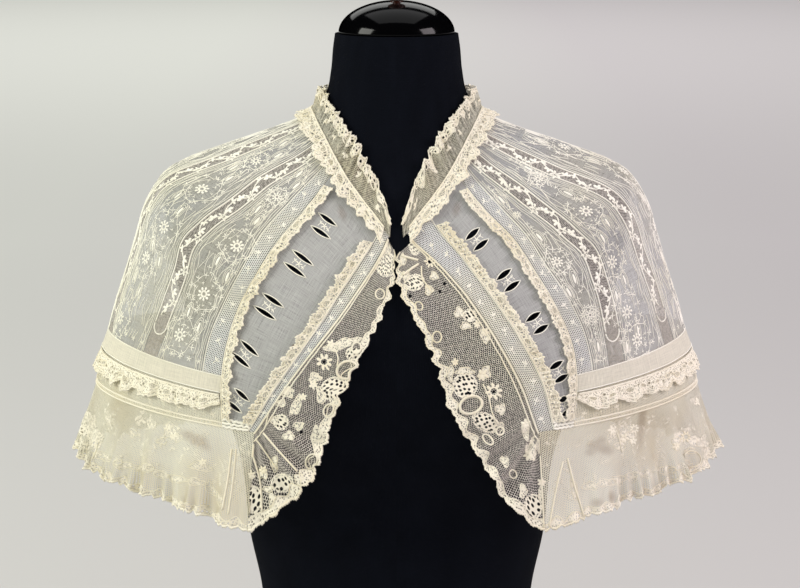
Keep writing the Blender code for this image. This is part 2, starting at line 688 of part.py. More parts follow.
def form_rings():
    """The rings of the dress form from its neck top to its underside, as grids of points."""
    turns = np.linspace(0, 360, FORM_SIDES, endpoint=False)
    angle = np.where(turns <= 180, turns, 360 - turns)
    side = np.where(turns <= 180, RIGHT, LEFT)

    def own(table):
        return [ring_point(table, row[0], angle, side) for row in table]

    shoulders = [side_point(share, angle, side, -(CLOTH / 2 + FORM_GAP)) for share in FORM_SHOULDER_SHARES]
    return np.array(own(FORM_NECK) + shoulders + own(FORM_BODY))


def closed_stack(name, rings, finish):
    """A closed solid of rings, one above another, with a flat face at each end."""
    count, sides = rings.shape[:2]
    faces = [list(range(sides)), [(count - 1) * sides + i for i in range(sides)][::-1]]
    for row in range(count - 1):
        for i in range(sides):
            j = (i + 1) % sides
            faces.append([row * sides + i, (row + 1) * sides + i, (row + 1) * sides + j, row * sides + j])
    points = rings.reshape(-1, 3)
    if signed_volume(points, faces) < 0:
        faces = [face[::-1] for face in faces]
    return add_object(name, points, faces, finish)


def neck_cap():
    """The glossy dome on the neck."""
    turns = np.linspace(0, 2 * math.pi, FORM_SIDES, endpoint=False)
    rings = []
    for rise in CAP_RISES:
        spread = math.sqrt(1 - rise ** 2)
        height = CAP_FOOT_Z + CAP_HEIGHT * rise
        x = np.sin(turns) * CAP_HALF_WIDTH * spread
        y = np.cos(turns) * CAP_HALF_DEPTH * spread
        rings.append(np.stack([x, y, np.full(turns.shape, height)], axis=-1))
    closed_stack("form_cap", np.array(rings), "black_gloss")


def finial():
    """The turned wooden finial on the cap."""
    turns = np.linspace(0, 2 * math.pi, FINIAL_SIDES, endpoint=False)
    foot = CAP_FOOT_Z + CAP_HEIGHT * CAP_RISES[-1] + REST_GAP
    rings = []
    for height, radius in FINIAL_PROFILE:
        x, y = np.sin(turns) * radius, np.cos(turns) * radius
        rings.append(np.stack([x, y, np.full(turns.shape, foot + height)], axis=-1))
    closed_stack("form_finial", np.array(rings), "turned_wood")


def build():
    """Clears the scene and makes every piece."""
    for old in list(bpy.data.objects):
        bpy.data.objects.remove(old)
    closed_stack("form_torso", form_rings(), "black_jersey")
    neck_cap()
    finial()
    for side, word in ((LEFT, "left"), (RIGHT, "right")):
        front_pieces(side, word)
        body_panels(side, word)
        front_flounce(side, word)
        lawn_trim(side, word, front_seam(side, "lawn_inner"), "inner", 1)
        lawn_trim(side, word, front_seam(side, "lawn_outer"), "outer", -1)
        neck_frill(side, word)
        neck_trim(side, word)
    back_insertion()
    for word in ("left", "back", "right"):
        lower_bands(word)
        hem_flounce(word)


build()
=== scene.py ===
"""Looks for a lace and lawn cape collar and for the dress form that wears it, laid out as a Blender add-on.

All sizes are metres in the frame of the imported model: +Z up, the front towards -Y. "left" and "right" are the
viewer's. A place on the collar is an angle round the body, 0 at the centre front and 180 at the centre back,
and a share of the way down: 0 at the neck, 1 at the corded seam where the hem flounce is sewn on.
"""

import math

import bpy
import numpy as np
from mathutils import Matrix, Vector


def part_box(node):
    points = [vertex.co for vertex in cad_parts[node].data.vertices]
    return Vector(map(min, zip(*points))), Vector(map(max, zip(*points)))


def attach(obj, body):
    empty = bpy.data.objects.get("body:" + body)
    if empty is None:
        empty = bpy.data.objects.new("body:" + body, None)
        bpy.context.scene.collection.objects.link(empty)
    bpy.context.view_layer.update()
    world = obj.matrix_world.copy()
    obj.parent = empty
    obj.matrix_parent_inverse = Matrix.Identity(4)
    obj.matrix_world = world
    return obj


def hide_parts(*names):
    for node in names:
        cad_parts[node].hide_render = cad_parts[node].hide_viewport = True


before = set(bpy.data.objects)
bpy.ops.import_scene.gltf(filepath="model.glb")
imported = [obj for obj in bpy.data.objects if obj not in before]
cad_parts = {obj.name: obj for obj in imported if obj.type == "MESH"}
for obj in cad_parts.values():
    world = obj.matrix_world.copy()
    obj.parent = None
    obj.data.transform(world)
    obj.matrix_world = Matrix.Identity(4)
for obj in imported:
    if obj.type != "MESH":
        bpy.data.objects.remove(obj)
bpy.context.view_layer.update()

bl_info = {
    "name": "Lace cape collar on a dress form",
    "version": (1, 0, 0),
    "blender": (4, 5, 0),
    "location": "View3D > Sidebar > Collar",
    "description": "Builds the collar's cloth, lace and whitework, the dress form and its stage",
    "category": "Object",
}

BODY = "root"
LEFT = -1
RIGHT = 1
SIDES = {"left": LEFT, "right": RIGHT}
BACK = 180.0

# The collar's rings, as the part's source has them.
COLLAR_RINGS = (
    (-0.15, 0.0605, 0.059, 0.059, 0.705, 0.672, 0.712),
    (0.0, 0.062, 0.0615, 0.06, 0.676, 0.64, 0.683),
    (0.1, 0.08, 0.069, 0.068, 0.6535, 0.615, 0.656),
    (0.2, 0.11, 0.0815, 0.085, 0.641, 0.5905, 0.628),
    (0.314, 0.156, 0.1, 0.102, 0.625, 0.563, 0.599),
    (0.42, 0.204, 0.116, 0.115, 0.6045, 0.537, 0.572),
    (0.5, 0.222, 0.129, 0.123, 0.58, 0.5175, 0.55),
    (0.6, 0.233, 0.142, 0.13, 0.546, 0.493, 0.526),
    (0.84, 0.259, 0.16, 0.144, 0.463, 0.434, 0.453),
    (1.0, 0.271, 0.166, 0.152, 0.413, 0.395, 0.405),
    (1.35, 0.29, 0.172, 0.164, 0.349, 0.317, 0.342),
    (1.45, 0.2945, 0.1735, 0.1665, 0.3315, 0.295, 0.325),
)

# The dress form's own rings, above and below the shoulders, which follow the collar's rings a little inside.
FORM_NECK = (
    (0.0, 0.0545, 0.053, 0.053, 0.725, 0.725, 0.725),
    (0.1, 0.0562, 0.0548, 0.0548, 0.713, 0.71, 0.714),
    (0.2, 0.0582, 0.0568, 0.0568, 0.692, 0.675, 0.698),
)
FORM_SHOULDER_SHARES = (0.03, 0.07, 0.11, 0.16, 0.21, 0.27, 0.33, 0.37, 0.4, 0.425)
FORM_BODY = (
    (1.0, 0.2075, 0.121, 0.118, 0.591, 0.522, 0.557),
    (1.3, 0.2055, 0.131, 0.12, 0.56, 0.493, 0.525),
    (1.6, 0.199, 0.137, 0.119, 0.515, 0.458, 0.48),
    (1.9, 0.185, 0.134, 0.112, 0.462, 0.418, 0.432),
    (2.2, 0.163, 0.119, 0.101, 0.405, 0.372, 0.382),
    (2.5, 0.1425, 0.106, 0.0905, 0.345, 0.324, 0.33),
    (2.8, 0.1345, 0.099, 0.083, 0.276, 0.265, 0.268),
    (3.1, 0.1228, 0.0925, 0.08, 0.205, 0.203, 0.204),
    (3.4, 0.134, 0.0965, 0.09, 0.15, 0.149, 0.1495),
    (3.7, 0.158, 0.1065, 0.108, 0.09, 0.09, 0.09),
    (4.0, 0.17, 0.112, 0.116, 0.04, 0.04, 0.04),
    (4.3, 0.169, 0.111, 0.115, 0.0, 0.0, 0.0),
)
FORM_INSET = 0.0016
FORM_SIDES = 144
FORM_ROWS = 150

# The neck seam's share at each angle, and the seams of the front pieces: a share, then their angles on the left
# and then on the right.
NECK_SEAM = ((2, 0.33), (8, 0.272), (14, 0.232), (27, 0.172), (44, 0.12), (66, 0.088), (90, 0.08),
             (135, 0.076), (180, 0.074))
FRONT_SEAM_COLUMNS = ("share", "flounce_seam", "lawn_inner", "lawn_outer", "strip_outer")
FRONT_SEAMS = (
    (0.12, 2.0, 5.0, 33.5, 39.0, 2.0, 9.0, 31.0, 37.0),
    (0.314, 2.0, 5.6, 30.3, 36.6, 3.0, 13.0, 29.5, 34.6),
    (0.42, 4.9, 8.8, 29.8, 34.9, 9.6, 16.0, 29.9, 33.6),
    (0.5, 8.0, 11.5, 31.2, 35.4, 13.6, 18.6, 31.2, 34.6),
    (0.62, 12.8, 15.6, 34.2, 38.2, 18.3, 23.0, 34.6, 38.6),
    (0.75, 18.0, 20.0, 35.2, 40.0, 22.0, 26.6, 36.6, 40.6),
    (0.84, 21.2, 23.0, 34.9, 39.8, 24.0, 28.4, 36.2, 40.4),
    (1.0, 26.3, 27.6, 33.0, 38.4, 26.3, 29.6, 33.6, 38.4),
)

# The middles of the net insertions: a share, then the angles of the left's four and the right's four. Their half
# width is in metres at a share.
INSERTIONS = (
    (0.08, 48.5, 73.0, 112.0, 147.0, 43.4, 57.5, 104.0, 143.5),
    (0.2, 48.8, 72.5, 112.0, 147.0, 43.4, 59.3, 104.0, 143.5),
    (0.3, 49.6, 72.2, 112.0, 147.0, 43.4, 59.8, 104.0, 143.5),
    (0.4, 47.7, 73.8, 112.0, 147.0, 42.7, 62.0, 104.0, 143.5),
    (0.46, 49.8, 77.5, 112.0, 147.0, 44.2, 64.5, 104.0, 143.5),
    (0.52, 52.5, 79.5, 112.0, 147.0, 47.0, 65.5, 104.0, 143.5),
    (0.62, 53.0, 80.0, 112.0, 147.0, 48.4, 66.5, 104.0, 143.5),
    (0.84, 55.5, 80.0, 112.0, 147.0, 47.0, 67.5, 104.0, 143.5),
)
INSERTION_HALF_WIDTH = ((0.08, 0.0055), (0.3, 0.0076), (0.5, 0.0082), (0.84, 0.0082))
INSERTION_COUNT = 4
PANEL_END = 0.840
BODY_END = 1.0

# The pairs of ribbon slots in the lawn bands: the middle of each pair as a share and an angle, the length of its
# slots, and the degrees that they are turned by.
SLOTS = {
    LEFT: ((0.335, 21.9, 0.023, -9), (0.462, 22.8, 0.025, 0), (0.608, 27.7, 0.024, 4), (0.761, 30.6, 0.0225, 18),
           (0.905, 30.6, 0.018, 24)),
    RIGHT: ((0.378, 21.5, 0.0185, -6), (0.518, 25.0, 0.0185, 0), (0.664, 29.9, 0.0175, 3), (0.819, 32.4, 0.016, 9),
            (0.93, 32.4, 0.009, 9)),
}
SLOT_WIDTH = {LEFT: 0.0044, RIGHT: 0.0056}
SLOT_PAIR_GAP = 0.0125

# The front flounce's sewn edge and scalloped edge, at steps along it: step, then seam share,
# edge angle and edge share on the left and then on the right.
FRONT_FLOUNCE = (
    (0.0, 0.34, 0.55, 0.375, 0.345, 0.55, 0.385),
    (0.15, 0.45, 1.4, 0.49, 0.45, 1.1, 0.49),
    (0.3, 0.6, 4.9, 0.625, 0.6, 5.4, 0.625),
    (0.45, 0.74, 8.9, 0.77, 0.74, 8.5, 0.76),
    (0.6, 0.87, 12.0, 0.92, 0.87, 10.6, 0.905),
    (0.72, 0.945, 13.7, 1.05, 0.945, 14.2, 1.03),
    (0.82, 0.977, 15.6, 1.16, 0.977, 17.0, 1.14),
    (0.91, 0.991, 19.4, 1.26, 0.991, 19.6, 1.255),
    (1.0, 1.0, 25.6, 1.385, 1.0, 25.6, 1.385),
)
SIDE_END = 128.0
HEM_START = ((0.0, 26.3), (1.0, 25.6))
NECK_FRILL_EDGE = ((2, 0.28), (6.4, 0.205), (20, 0.1), (42, 0.035), (76, 0.016), (90, 0.012), (135, 0.0),
                   (180, -0.006))

# The camera that agrees with the photograph: what it looks at, from how far and how steeply, and its focal
# length in pixels. A stitch that is placed by a pixel of the photograph lies where the camera sees its sheet.
LOOK_AT = (0.003, 0.0, 0.491)
LOOK_FROM = 2.2
LOOK_DOWN = math.radians(10)
LENS, SENSOR = 110.0, 36.0
PICTURE = (800, 588)
FOCAL = PICTURE[0] * LENS / SENSOR
PIXEL = 0.0009

# What the photograph shows of the flounces' lace, in its pixels. "open" are ovals of large holes and "close" ovals
# of close work (x, y, half width, half height, turn). "rings" are corded ovals with net inside (the same and a
# cord in tenths of a millimetre), "eyes" are single holes, flowers are x, y and radius, leaves are x, y, turn and
# size, and lines are cords: a width in tenths of a millimetre and the pixels that it passes.
LACE = {
    "left_front_flounce": {
        "open": ((386.3, 264.6, 9, 11, 0), (354.5, 353.4, 7.5, 5.5, 0), (334.2, 389, 12, 10.5, -15),
            (281, 422, 6, 6.5, 0), (282.2, 483, 10, 8, 0), (251.7, 499.4, 9.5, 12.5, 0)),
        "close": ((382.5, 248, 9, 6, 0), (347, 342.5, 13, 4.5, -15), (315, 377.5, 6, 4.5, 0),
            (320.5, 396, 3.5, 9, -15), (356, 360, 4, 6, 20), (335, 402, 5, 4, 30), (287.3, 392.8, 7, 4.5, 0),
            (281, 403, 5, 3.5, 0), (296, 406, 4.5, 10, 20), (274.6, 420.7, 3.5, 5, 0), (288.5, 436, 6, 4, 0),
            (298.7, 425.8, 5, 4, 0), (316, 434, 4.5, 8, 20), (274.6, 463.8, 3.5, 8, 0), (263.2, 474, 4.5, 5, 0),
            (298.7, 479, 4, 6, 0), (245.4, 482, 4.5, 8, 0), (272, 499.4, 3, 8, 0), (331.7, 348, 8, 3.5, 0),
            (268, 489, 5, 3, 0)),
        "rings": ((347, 370, 10.5, 8.5, -25, 24), (328.5, 410, 4.5, 6.5, 30, 16), (311.4, 461.3, 5.5, 7.5, 25, 16),
            (356.5, 348, 4.5, 5.5, 20, 15), (236.5, 509.5, 5.5, 6.5, 0, 16), (380, 294, 4.5, 5, 0, 15)),
        "eyes": ((324, 361.8), (366, 268.9), (371.8, 257), (301, 432), (262, 478)),
        "flowers": ((324, 361.8, 8.5),),
        "leaves": ((331, 344, 140, 0.9), (313, 385, 200, 0.9), (287, 390, 60, 0.9), (263, 470, 120, 0.9),
            (303, 397, 20, 0.8), (243, 476, 100, 0.9)),
        "lines": ((12, ((335.5, 350), (338, 358), (337, 366))), (12, ((278, 388), (269.5, 410), (265.7, 426))),
            (18, ((263.2, 433), (281, 453.7), (297.4, 471.5))), (15, ((255.5, 438.5), (268, 456), (277, 469))),
            (18, ((249.2, 446), (255.5, 464), (260.6, 484), (262, 512)))),
    },
    "right_front_flounce": {
        "open": ((414.3, 244.9, 4.5, 9, -8), (414.3, 282.5, 9, 6.8, -15), (469.6, 315.5, 5.5, 5, 0),
            (465, 385.3, 11, 11, 0), (486, 422.5, 13.5, 7.5, 28), (533, 506.5, 8, 11, 0)),
        "close": ((429, 290, 4, 5, 0), (405.5, 275.8, 3.5, 5, 0), (402.8, 260, 3, 6, 0), (459, 312.5, 4.5, 5, 0),
            (465.6, 326, 5, 3.5, 0), (485, 336, 4.5, 7, -30), (465, 371, 9, 3.5, 0), (450, 373, 3.5, 8, 0),
            (485, 373, 5, 7, 30), (499, 427, 4.5, 6, 0), (500.5, 409, 5, 5, 0), (525.8, 430, 3.5, 10, 0),
            (531, 451, 5, 8, -20), (538.8, 446, 3, 7, 0), (504.8, 461.5, 3.5, 6, -30), (523, 491, 3.5, 7, 0),
            (541.5, 493, 3.5, 6, 0), (434, 276, 4, 4, 0), (440, 262, 3, 4, 0)),
        "rings": ((471, 405, 11.5, 8.5, -20, 26), (437, 337, 4.5, 5.5, 0, 15), (488, 439.5, 6.5, 3.6, 45, 15),
            (500, 431, 4, 4, 0, 16), (513, 474, 3.5, 4.5, -30, 14), (419, 306, 3.5, 4.5, -30, 12)),
        "eyes": ((493.7, 391.6), (439.8, 291.3), (444.7, 283.8), (429.8, 261.5), (468.0, 393.0), (410, 296)),
        "flowers": ((493.7, 391.6, 9), (429.8, 262.0, 6)),
        "leaves": ((482.8, 375, 55, 1.2), (526, 424, 100, 1.0), (532, 440, 60, 1.0), (528, 455, 120, 1.1),
            (477, 324, 100, 0.8), (455, 362, 100, 0.8), (485, 332, 60, 0.9), (542, 482, 80, 0.9)),
        "lines": ((24, ((401.6, 255.6), (410, 258), (418.2, 260.2))),
            (24, ((418.5, 264), (411, 269), (403.3, 274.7))),
            (14, ((421.5, 266.4), (422.3, 278), (427.3, 285.5), (431, 291))),
            (12, ((483, 384), (489, 398), (492, 412), (498, 424))),
            (14, ((564, 457), (557, 480), (552, 505), (548.7, 533)))),
    },
    "left_hem_flounce": {
        "open": ((84, 430, 4, 4, 0), (96, 444, 3.5, 3.5, 0)),
        "close": ((88, 418, 8, 6, 0), (94, 434, 8, 12, -20), (82, 445, 7, 7, 0), (144, 412, 4, 5, 0),
            (140, 421, 6, 5, 0), (151, 423, 5, 7, 0), (171, 430, 8, 7, 0), (178, 438, 4, 4, 0), (201, 466, 11, 5, 10),
            (108, 420, 3, 12, -12), (100, 456, 12, 4, 12), (122, 465, 10, 4, 5), (143, 468, 10, 4, 0),
            (160, 474, 9, 3.5, 20), (178, 479, 10, 3.5, 8), (196, 482, 9, 3.5, 8), (211, 489, 4, 8, -40),
            (220, 500, 3, 7, -20), (162, 441, 5, 3, 0), (133, 433, 4, 4, 0)),
        "rings": ((90, 455, 4, 4, 0, 14), (150, 468, 4, 3, 0, 12), (118, 462, 4, 3, 0, 12)),
        "eyes": (),
        "flowers": ((92, 424, 6), (146, 417, 6)),
        "leaves": ((140, 424, 150, 0.9), (174, 436, 60, 0.9), (168, 428, 190, 0.8), (203, 462, 30, 0.8)),
        "lines": ((20, ((109, 412), (103, 430), (95, 455))), (18, ((231.7, 449), (228, 478), (222, 510))),
            (14, ((236, 449), (233, 480), (228, 514)))),
        # Brown ovals (x, y, half width, half height, turn): stains, and painted shade on the lobes and folds at the
        # foot.
        "stain_and_shade": ((199, 441, 11, 6, 12), (190, 436, 9, 4, 20), (205, 446, 8, 4, 30), (211, 524, 12, 6, 20),
            (150, 505, 3, 9, 0), (184, 508, 2.5, 10, 0), (133, 487, 2, 8, 0)),
    },
    "right_hem_flounce": {
        "open": ((679, 437, 3.5, 3.5, 0), (694, 441, 4, 3, 0)),
        "close": ((612, 434, 4, 9, 20), (623, 431, 5, 7, 0), (631, 437, 5, 6, -20), (620, 446, 6, 4, 0),
            (688, 430, 7, 4, 0), (676, 443, 4, 7, 0), (703, 442, 6, 6, 0), (694, 401, 4, 5, -30), (590, 486, 8, 4, 0),
            (604, 483, 7, 4, 0), (619, 480, 6, 5, 0), (632, 477, 6, 5, 0), (646, 474, 6, 4, 0), (664, 470, 9, 4, -10),
            (684, 466, 9, 4, -15), (574, 489, 3, 10, -12), (706, 452, 5, 6, 0), (690, 451, 5, 3, 0)),
        "rings": ((692, 459, 9, 8, 20, 18), (672, 470, 4, 3, 0, 12), (612, 482, 4, 3, 0, 12)),
        "eyes": (),
        "flowers": ((686, 437, 6), (634, 429, 5)),
        "leaves": ((612, 430, 110, 1.0), (624, 438, 60, 1.0), (633, 441, 20, 0.8), (697, 402, 240, 0.9),
            (676, 446, 200, 0.8)),
        "lines": ((12, ((613, 424), (618, 436), (622, 452))), (18, ((567.5, 458), (575, 488), (584, 516))),
            (16, ((563, 461), (556, 490), (549, 528)))),
        # Brown ovals (x, y, half width, half height, turn): stains, and painted shade on the lobes and folds at the
        # foot.
        "stain_and_shade": ((595, 446, 9, 6, 0), (604, 449, 9, 5, 15), (590, 452, 6, 4, 0), (600, 441, 7, 4, -15),
            (597, 503, 6, 4, 0), (612, 497, 4, 5, 0), (642, 420, 4, 30, 5)),
    },
}
# The embroidered flowers that the photograph shows, in its pixels, by panel.
PANEL_FLOWERS = {
    "left_panel_1": ((277, 197), (237, 246), (204, 294), (180, 335)),
    "left_panel_2": ((256, 161), (202, 189), (164, 227), (128, 276), (146, 258), (121, 318)),
    "right_panel_1": ((517, 215), (557, 262), (590, 315)),
    "right_panel_2": ((499, 153), (538, 179), (586, 211), (612, 262), (627, 312), (637, 340)),
    "right_panel_3": ((633, 222), (648, 262), (660, 300), (668, 335)),
}


def linear(code):
    """A colour that is written as an sRGB hex number, as linear red, green and blue."""
    channels = [(code >> shift & 255) / 255 for shift in (16, 8, 0)]
    return tuple(c / 12.92 if c <= 0.04045 else ((c + 0.055) / 1.055) ** 2.4 for c in channels)


def size_property(name, description, default):
    """A length in metres that a user can change."""
    return bpy.props.FloatProperty(name=name, description=description, default=default, min=default / 4,
                                   max=default * 4, precision=5, unit="LENGTH")


def colour_property(name, description, code):
    """A colour that a user can change."""
    return bpy.props.FloatVectorProperty(name=name, description=description, subtype="COLOR", min=0, max=1,
                                         default=linear(code))


class CollarSizes(bpy.types.PropertyGroup):
    """The sizes of the cloth, the net and the stitches."""

    wall: size_property("Cloth", "How thick the cloth is", 0.00036)
    net_cell: size_property("Net cell", "From hole to hole of the cotton net", 0.0015)
    lawn_thread: size_property("Lawn thread", "From thread to thread of the lawn, as drawn", 0.001)
    relief: size_property("Relief", "How high satin stitch stands off the cloth", 0.0006)
    cord: size_property("Cord", "How wide the corded seams are", 0.00135)
    line: size_property("Line", "How wide a line of stem stitch is", 0.0007)
    flower: size_property("Flower", "From the middle of an embroidered flower to its petals' tips", 0.0066)
    repeat: size_property("Repeat", "From flower to flower down a panel", 0.057)


class CollarColours(bpy.types.PropertyGroup):
    """The colours of the threads and of the dress form."""

    lawn: colour_property("Lawn", "The plain lawn, the least yellowed", 0xE6E8EA)
    net: colour_property("Net", "The net of the flounce and insertions", 0xE2DDD8)
    ivory: colour_property("Ivory", "Embroidered lawn and hem net", 0xF0EEE0)
    aged: colour_property("Aged ivory", "Where the cloth has yellowed", 0xE8E1C8)
    white: colour_property("White cotton", "Satin stitch and worked edges", 0xFDFCF5)
    cream: colour_property("Cream", "Lace edgings", 0xF8F4E6)
    tan: colour_property("Tan", "Folds and edges of the lace, where it has browned", 0xE9E0C4)
    # Brown paints real stains, and also painted shade in the hem's fold valleys and on its lobes.
    brown: colour_property("Stain", "Small brown stains", 0x8A6A45)
    jersey: colour_property("Jersey", "The dress form's cover", 0x0E1119)
    gloss: colour_property("Cap", "The neck cap", 0x040405)
    wood: colour_property("Finial", "The turned finial", 0x6B3220)
    floor: colour_property("Floor", "The plain floor", 0xD9DAD4)


def curve(x, y, at):
    """Reads rows y, which are given at the places x, at other places along a smooth curve through them."""
    slope = np.gradient(y, x, axis=0)
    at = np.clip(at, x[0], x[-1])
    i = np.clip(np.searchsorted(x, at) - 1, 0, len(x) - 2)
    shape = np.shape(i) + (1,) * (y.ndim - 1)
    width = np.reshape(x[i + 1] - x[i], shape)
    t = np.reshape(at - x[i], shape) / width
    start = (1 + 2 * t) * (1 - t) ** 2 * y[i] + t * (1 - t) ** 2 * width * slope[i]
    end = t * t * (3 - 2 * t) * y[i + 1] + t * t * (t - 1) * width * slope[i + 1]
    return start + end


def smooth(table, column, at):
    """Reads one column of a table at a place in its first column."""
    rows = np.array(table, float)
    return curve(rows[:, 0], rows[:, column], at)


def unit(vectors):
    """The vectors at length one."""
    return vectors / np.maximum(np.linalg.norm(vectors, axis=-1, keepdims=True), 1e-12)


def ring_point(rings, share, angle, side):
    """The point at an angle on the ring at a share of the way down a stack of rings."""
    turn = np.radians(angle)
    front = np.cos(turn) > 0
    half_width, front_depth, back_depth, side_z, front_z, back_z = (
        smooth(rings, column, share) for column in range(1, 7))
    x = side * np.sin(turn) * half_width
    y = -np.cos(turn) * np.where(front, front_depth, back_depth)
    z = side_z * np.sin(turn) ** 2 + np.where(front, front_z, back_z) * np.cos(turn) ** 2
    return np.stack([x, y, z], axis=-1)


def collar_point(share, angle, side):
    """A point on the collar's middle surface, before any ruffle."""
    share, angle, side = np.broadcast_arrays(np.asarray(share, float), np.asarray(angle, float), side)
    return ring_point(COLLAR_RINGS, share, angle, side)


def lifted(share, angle, side, lift):
    """A point that stands off the collar's surface by a distance along its outward normal."""
    down = collar_point(share + 0.004, angle, side) - collar_point(share - 0.004, angle, side)
    around = collar_point(share, angle + 0.5, side) - collar_point(share, angle - 0.5, side)
    normal = -unit(np.asarray(side)[..., None] * np.cross(around, down))
    return collar_point(share, angle, side) + normal * np.asarray(lift)[..., None]


def degree_width(share, angle, side):
    """How wide one degree round the body is there."""
    around = collar_point(share, angle + 0.5, side) - collar_point(share, angle - 0.5, side)
    return np.linalg.norm(around, axis=-1)


def seam_share(angle):
    """How far down the collar the neck seam lies at an angle."""
    return smooth(NECK_SEAM, 1, angle)


def front_seam(side, column):
    """A function that gives one front seam's angle at a share."""
    at = FRONT_SEAM_COLUMNS.index(column) + 4 * (side == RIGHT)
    return lambda share: smooth(FRONT_SEAMS, at, share)


def insertion_seam(side, number, edge):
    """A function that gives the angle of an insertion's edge at a share: edge is -1 for front, 1 for back."""
    def at(share):
        if number <= INSERTION_COUNT:
            middle = smooth(INSERTIONS, number + INSERTION_COUNT * (side == RIGHT), share)
        else:
            middle = np.full(np.shape(share), BACK)
        half = np.interp(share, *np.transpose(INSERTION_HALF_WIDTH))
        return middle + edge * half / degree_width(share, middle, side)
    return at


class Cloth:
    """The shape of a sheet: its points on a fine grid, rows down and columns across, read at any place.

    A place is u across and v down, each 0 to 1, or a little beyond where an edging stands out.
    """

    def __init__(self, points):
        self.points = points
        flat_normal = np.cross(np.gradient(points, axis=1), np.gradient(points, axis=0))
        outwards = points - points.mean(axis=(0, 1)) + np.array([0.0, 0.0, 0.5])
        self.handed = 1 if np.sum(unit(flat_normal) * outwards) > 0 else -1
        self.normal = unit(flat_normal) * self.handed
        middle = points[:, points.shape[1] // 2]
        self.down = np.concatenate([[0], np.cumsum(np.linalg.norm(np.diff(middle, axis=0), axis=1))])
        self.width = np.linalg.norm(np.diff(points, axis=1), axis=2).sum(axis=1)
        self.v = np.linspace(0, 1, len(points))
        ahead = np.array([0, math.cos(LOOK_DOWN), -math.sin(LOOK_DOWN)])
        above = np.array([0, math.sin(LOOK_DOWN), math.cos(LOOK_DOWN)])
        away = points - (np.array(LOOK_AT) - ahead * LOOK_FROM)
        depth = away @ ahead
        self.pixels = np.stack([PICTURE[0] / 2 + FOCAL * away[..., 0] / depth,
                                PICTURE[1] / 2 - FOCAL * (away @ above) / depth], axis=-1)

    def spot(self, x, y):
        """The place that the camera sees at a pixel, and how places change from pixel to pixel there."""
        rows, columns = self.points.shape[:2]
        gap = np.hypot(self.pixels[..., 0] - x, self.pixels[..., 1] - y)
        i, j = np.unravel_index(gap.argmin(), gap.shape)
        i, j = min(max(i, 2), rows - 3), min(max(j, 3), columns - 4)
        across = (self.pixels[i, j + 3] - self.pixels[i, j - 3]) / 6 * (columns - 1)
        down = (self.pixels[i + 2, j] - self.pixels[i - 2, j]) / 4 * (rows - 1)
        change = np.linalg.inv(np.stack([across, down], axis=1))
        most = np.array([2.0 / (columns - 1), 1.5 / (rows - 1)])
        place = np.clip(change @ (np.array([x, y]) - self.pixels[i, j]), -most, most)
        return j / (columns - 1) + place[0], i / (rows - 1) + place[1], change

    def read(self, table, u, v):
        """Blends a table of the grid's points at places on the sheet."""
        rows, columns = table.shape[:2]
        x, y = np.asarray(u) * (columns - 1), np.asarray(v) * (rows - 1)
        i = np.clip(y.astype(int), 0, rows - 2)
        j = np.clip(x.astype(int), 0, columns - 2)
        a, b = (x - j)[..., None], (y - i)[..., None]
        upper = table[i, j] * (1 - a) + table[i, j + 1] * a
        lower = table[i + 1, j] * (1 - a) + table[i + 1, j + 1] * a
        return upper * (1 - b) + lower * b

    def at(self, u, v, lift=0.0):
        """Points at places on the sheet, each lifted off it along the normal."""
        return self.read(self.points, u, v) + self.read(self.normal, u, v) * np.asarray(lift)[..., None]

    def length_at(self, v):
        """How far down the sheet a row is, in metres, straight on beyond the last row."""
        over = np.clip(np.asarray(v) - 1, 0, None) + np.clip(v, None, 0)
        return np.interp(v, self.v, self.down) + over * self.down[-1]

    def row_at(self, length):
        """The v of a length down the sheet."""
        over = np.clip(length - self.down[-1], 0, None) + np.clip(length, None, 0)
        return np.interp(length, self.down, self.v) + over / self.down[-1]

    def moved(self, u, v, right, up):
        """The place that lies a distance to the right of another and above it."""
        new_v = self.row_at(self.length_at(v) - up)
        return u + right / np.interp(new_v, self.v, self.width), new_v


def body_cloth(side, low, high, foot, spacing=0.003):
    """The shape of a piece between two seams, from the neck seam down to a share."""
    tops = np.linspace(0, 1, 9)
    top = np.full(9, 0.3)
    for _ in range(6):
        top = seam_share(low(top) * (1 - tops) + high(top) * tops)
    foot_width = degree_width(np.array(0.6), np.array(50.0), side) * float(high(np.array(0.6)) - low(np.array(0.6)))
    across = np.linspace(0, 1, max(4, round(foot_width / spacing)) + 1)
    down = np.linspace(0, 1, round(0.3 / spacing) + 1)[:, None]
    share = np.interp(across, tops, top) * (1 - down) + foot * down
    angle = low(share) * (1 - across) + high(share) * across
    life = np.sin(angle * 0.31 + share * 9) * np.sin(share * 31 + angle * 0.17) * 0.00035
    return Cloth(lifted(share, angle, side, life * np.clip(12 * down * (1 - down), 0, 1)))


def band_places(word, start, count):
    """The angles and sides along one length of a lower band. start is where a side length begins, by row."""
    t = np.linspace(0, 1, count + 1)
    start = np.atleast_1d(start)[:, None]
    if word == "back":
        turn = SIDE_END + 2 * (BACK - SIDE_END) * t + 0 * start
        return np.where(turn <= BACK, turn, 2 * BACK - turn), np.where(turn <= BACK, LEFT, RIGHT)
    return start + (SIDE_END - start) * t, np.full((len(start), count + 1), SIDES[word])


# The values that are painted on a sheet's points. The last is brown: real stains in places, and painted shade
# in others, such as the hem's fold valleys and lobes.
PAINTED = ("hole", "open", "dense", "stain_and_shade")
# The stitches, each drawn flat in metres with x to the right, y up and z off the cloth, and the finishes, whose
# names end in the kind of cloth that their sheets are named for.
MOTIFS = {}
FINISHES = {}


def taken(name, made):
    """Keeps a modelled shape as points and faces under a name, and removes its object."""
    mesh = made.data
    points = np.array([v.co for v in mesh.vertices], float)
    faces = [np.array([p.vertices[:] for p in mesh.polygons if len(p.vertices) == n]) for n in (3, 4)]
    MOTIFS[name] = (points, [f for f in faces if len(f)])
    bpy.data.objects.remove(made)


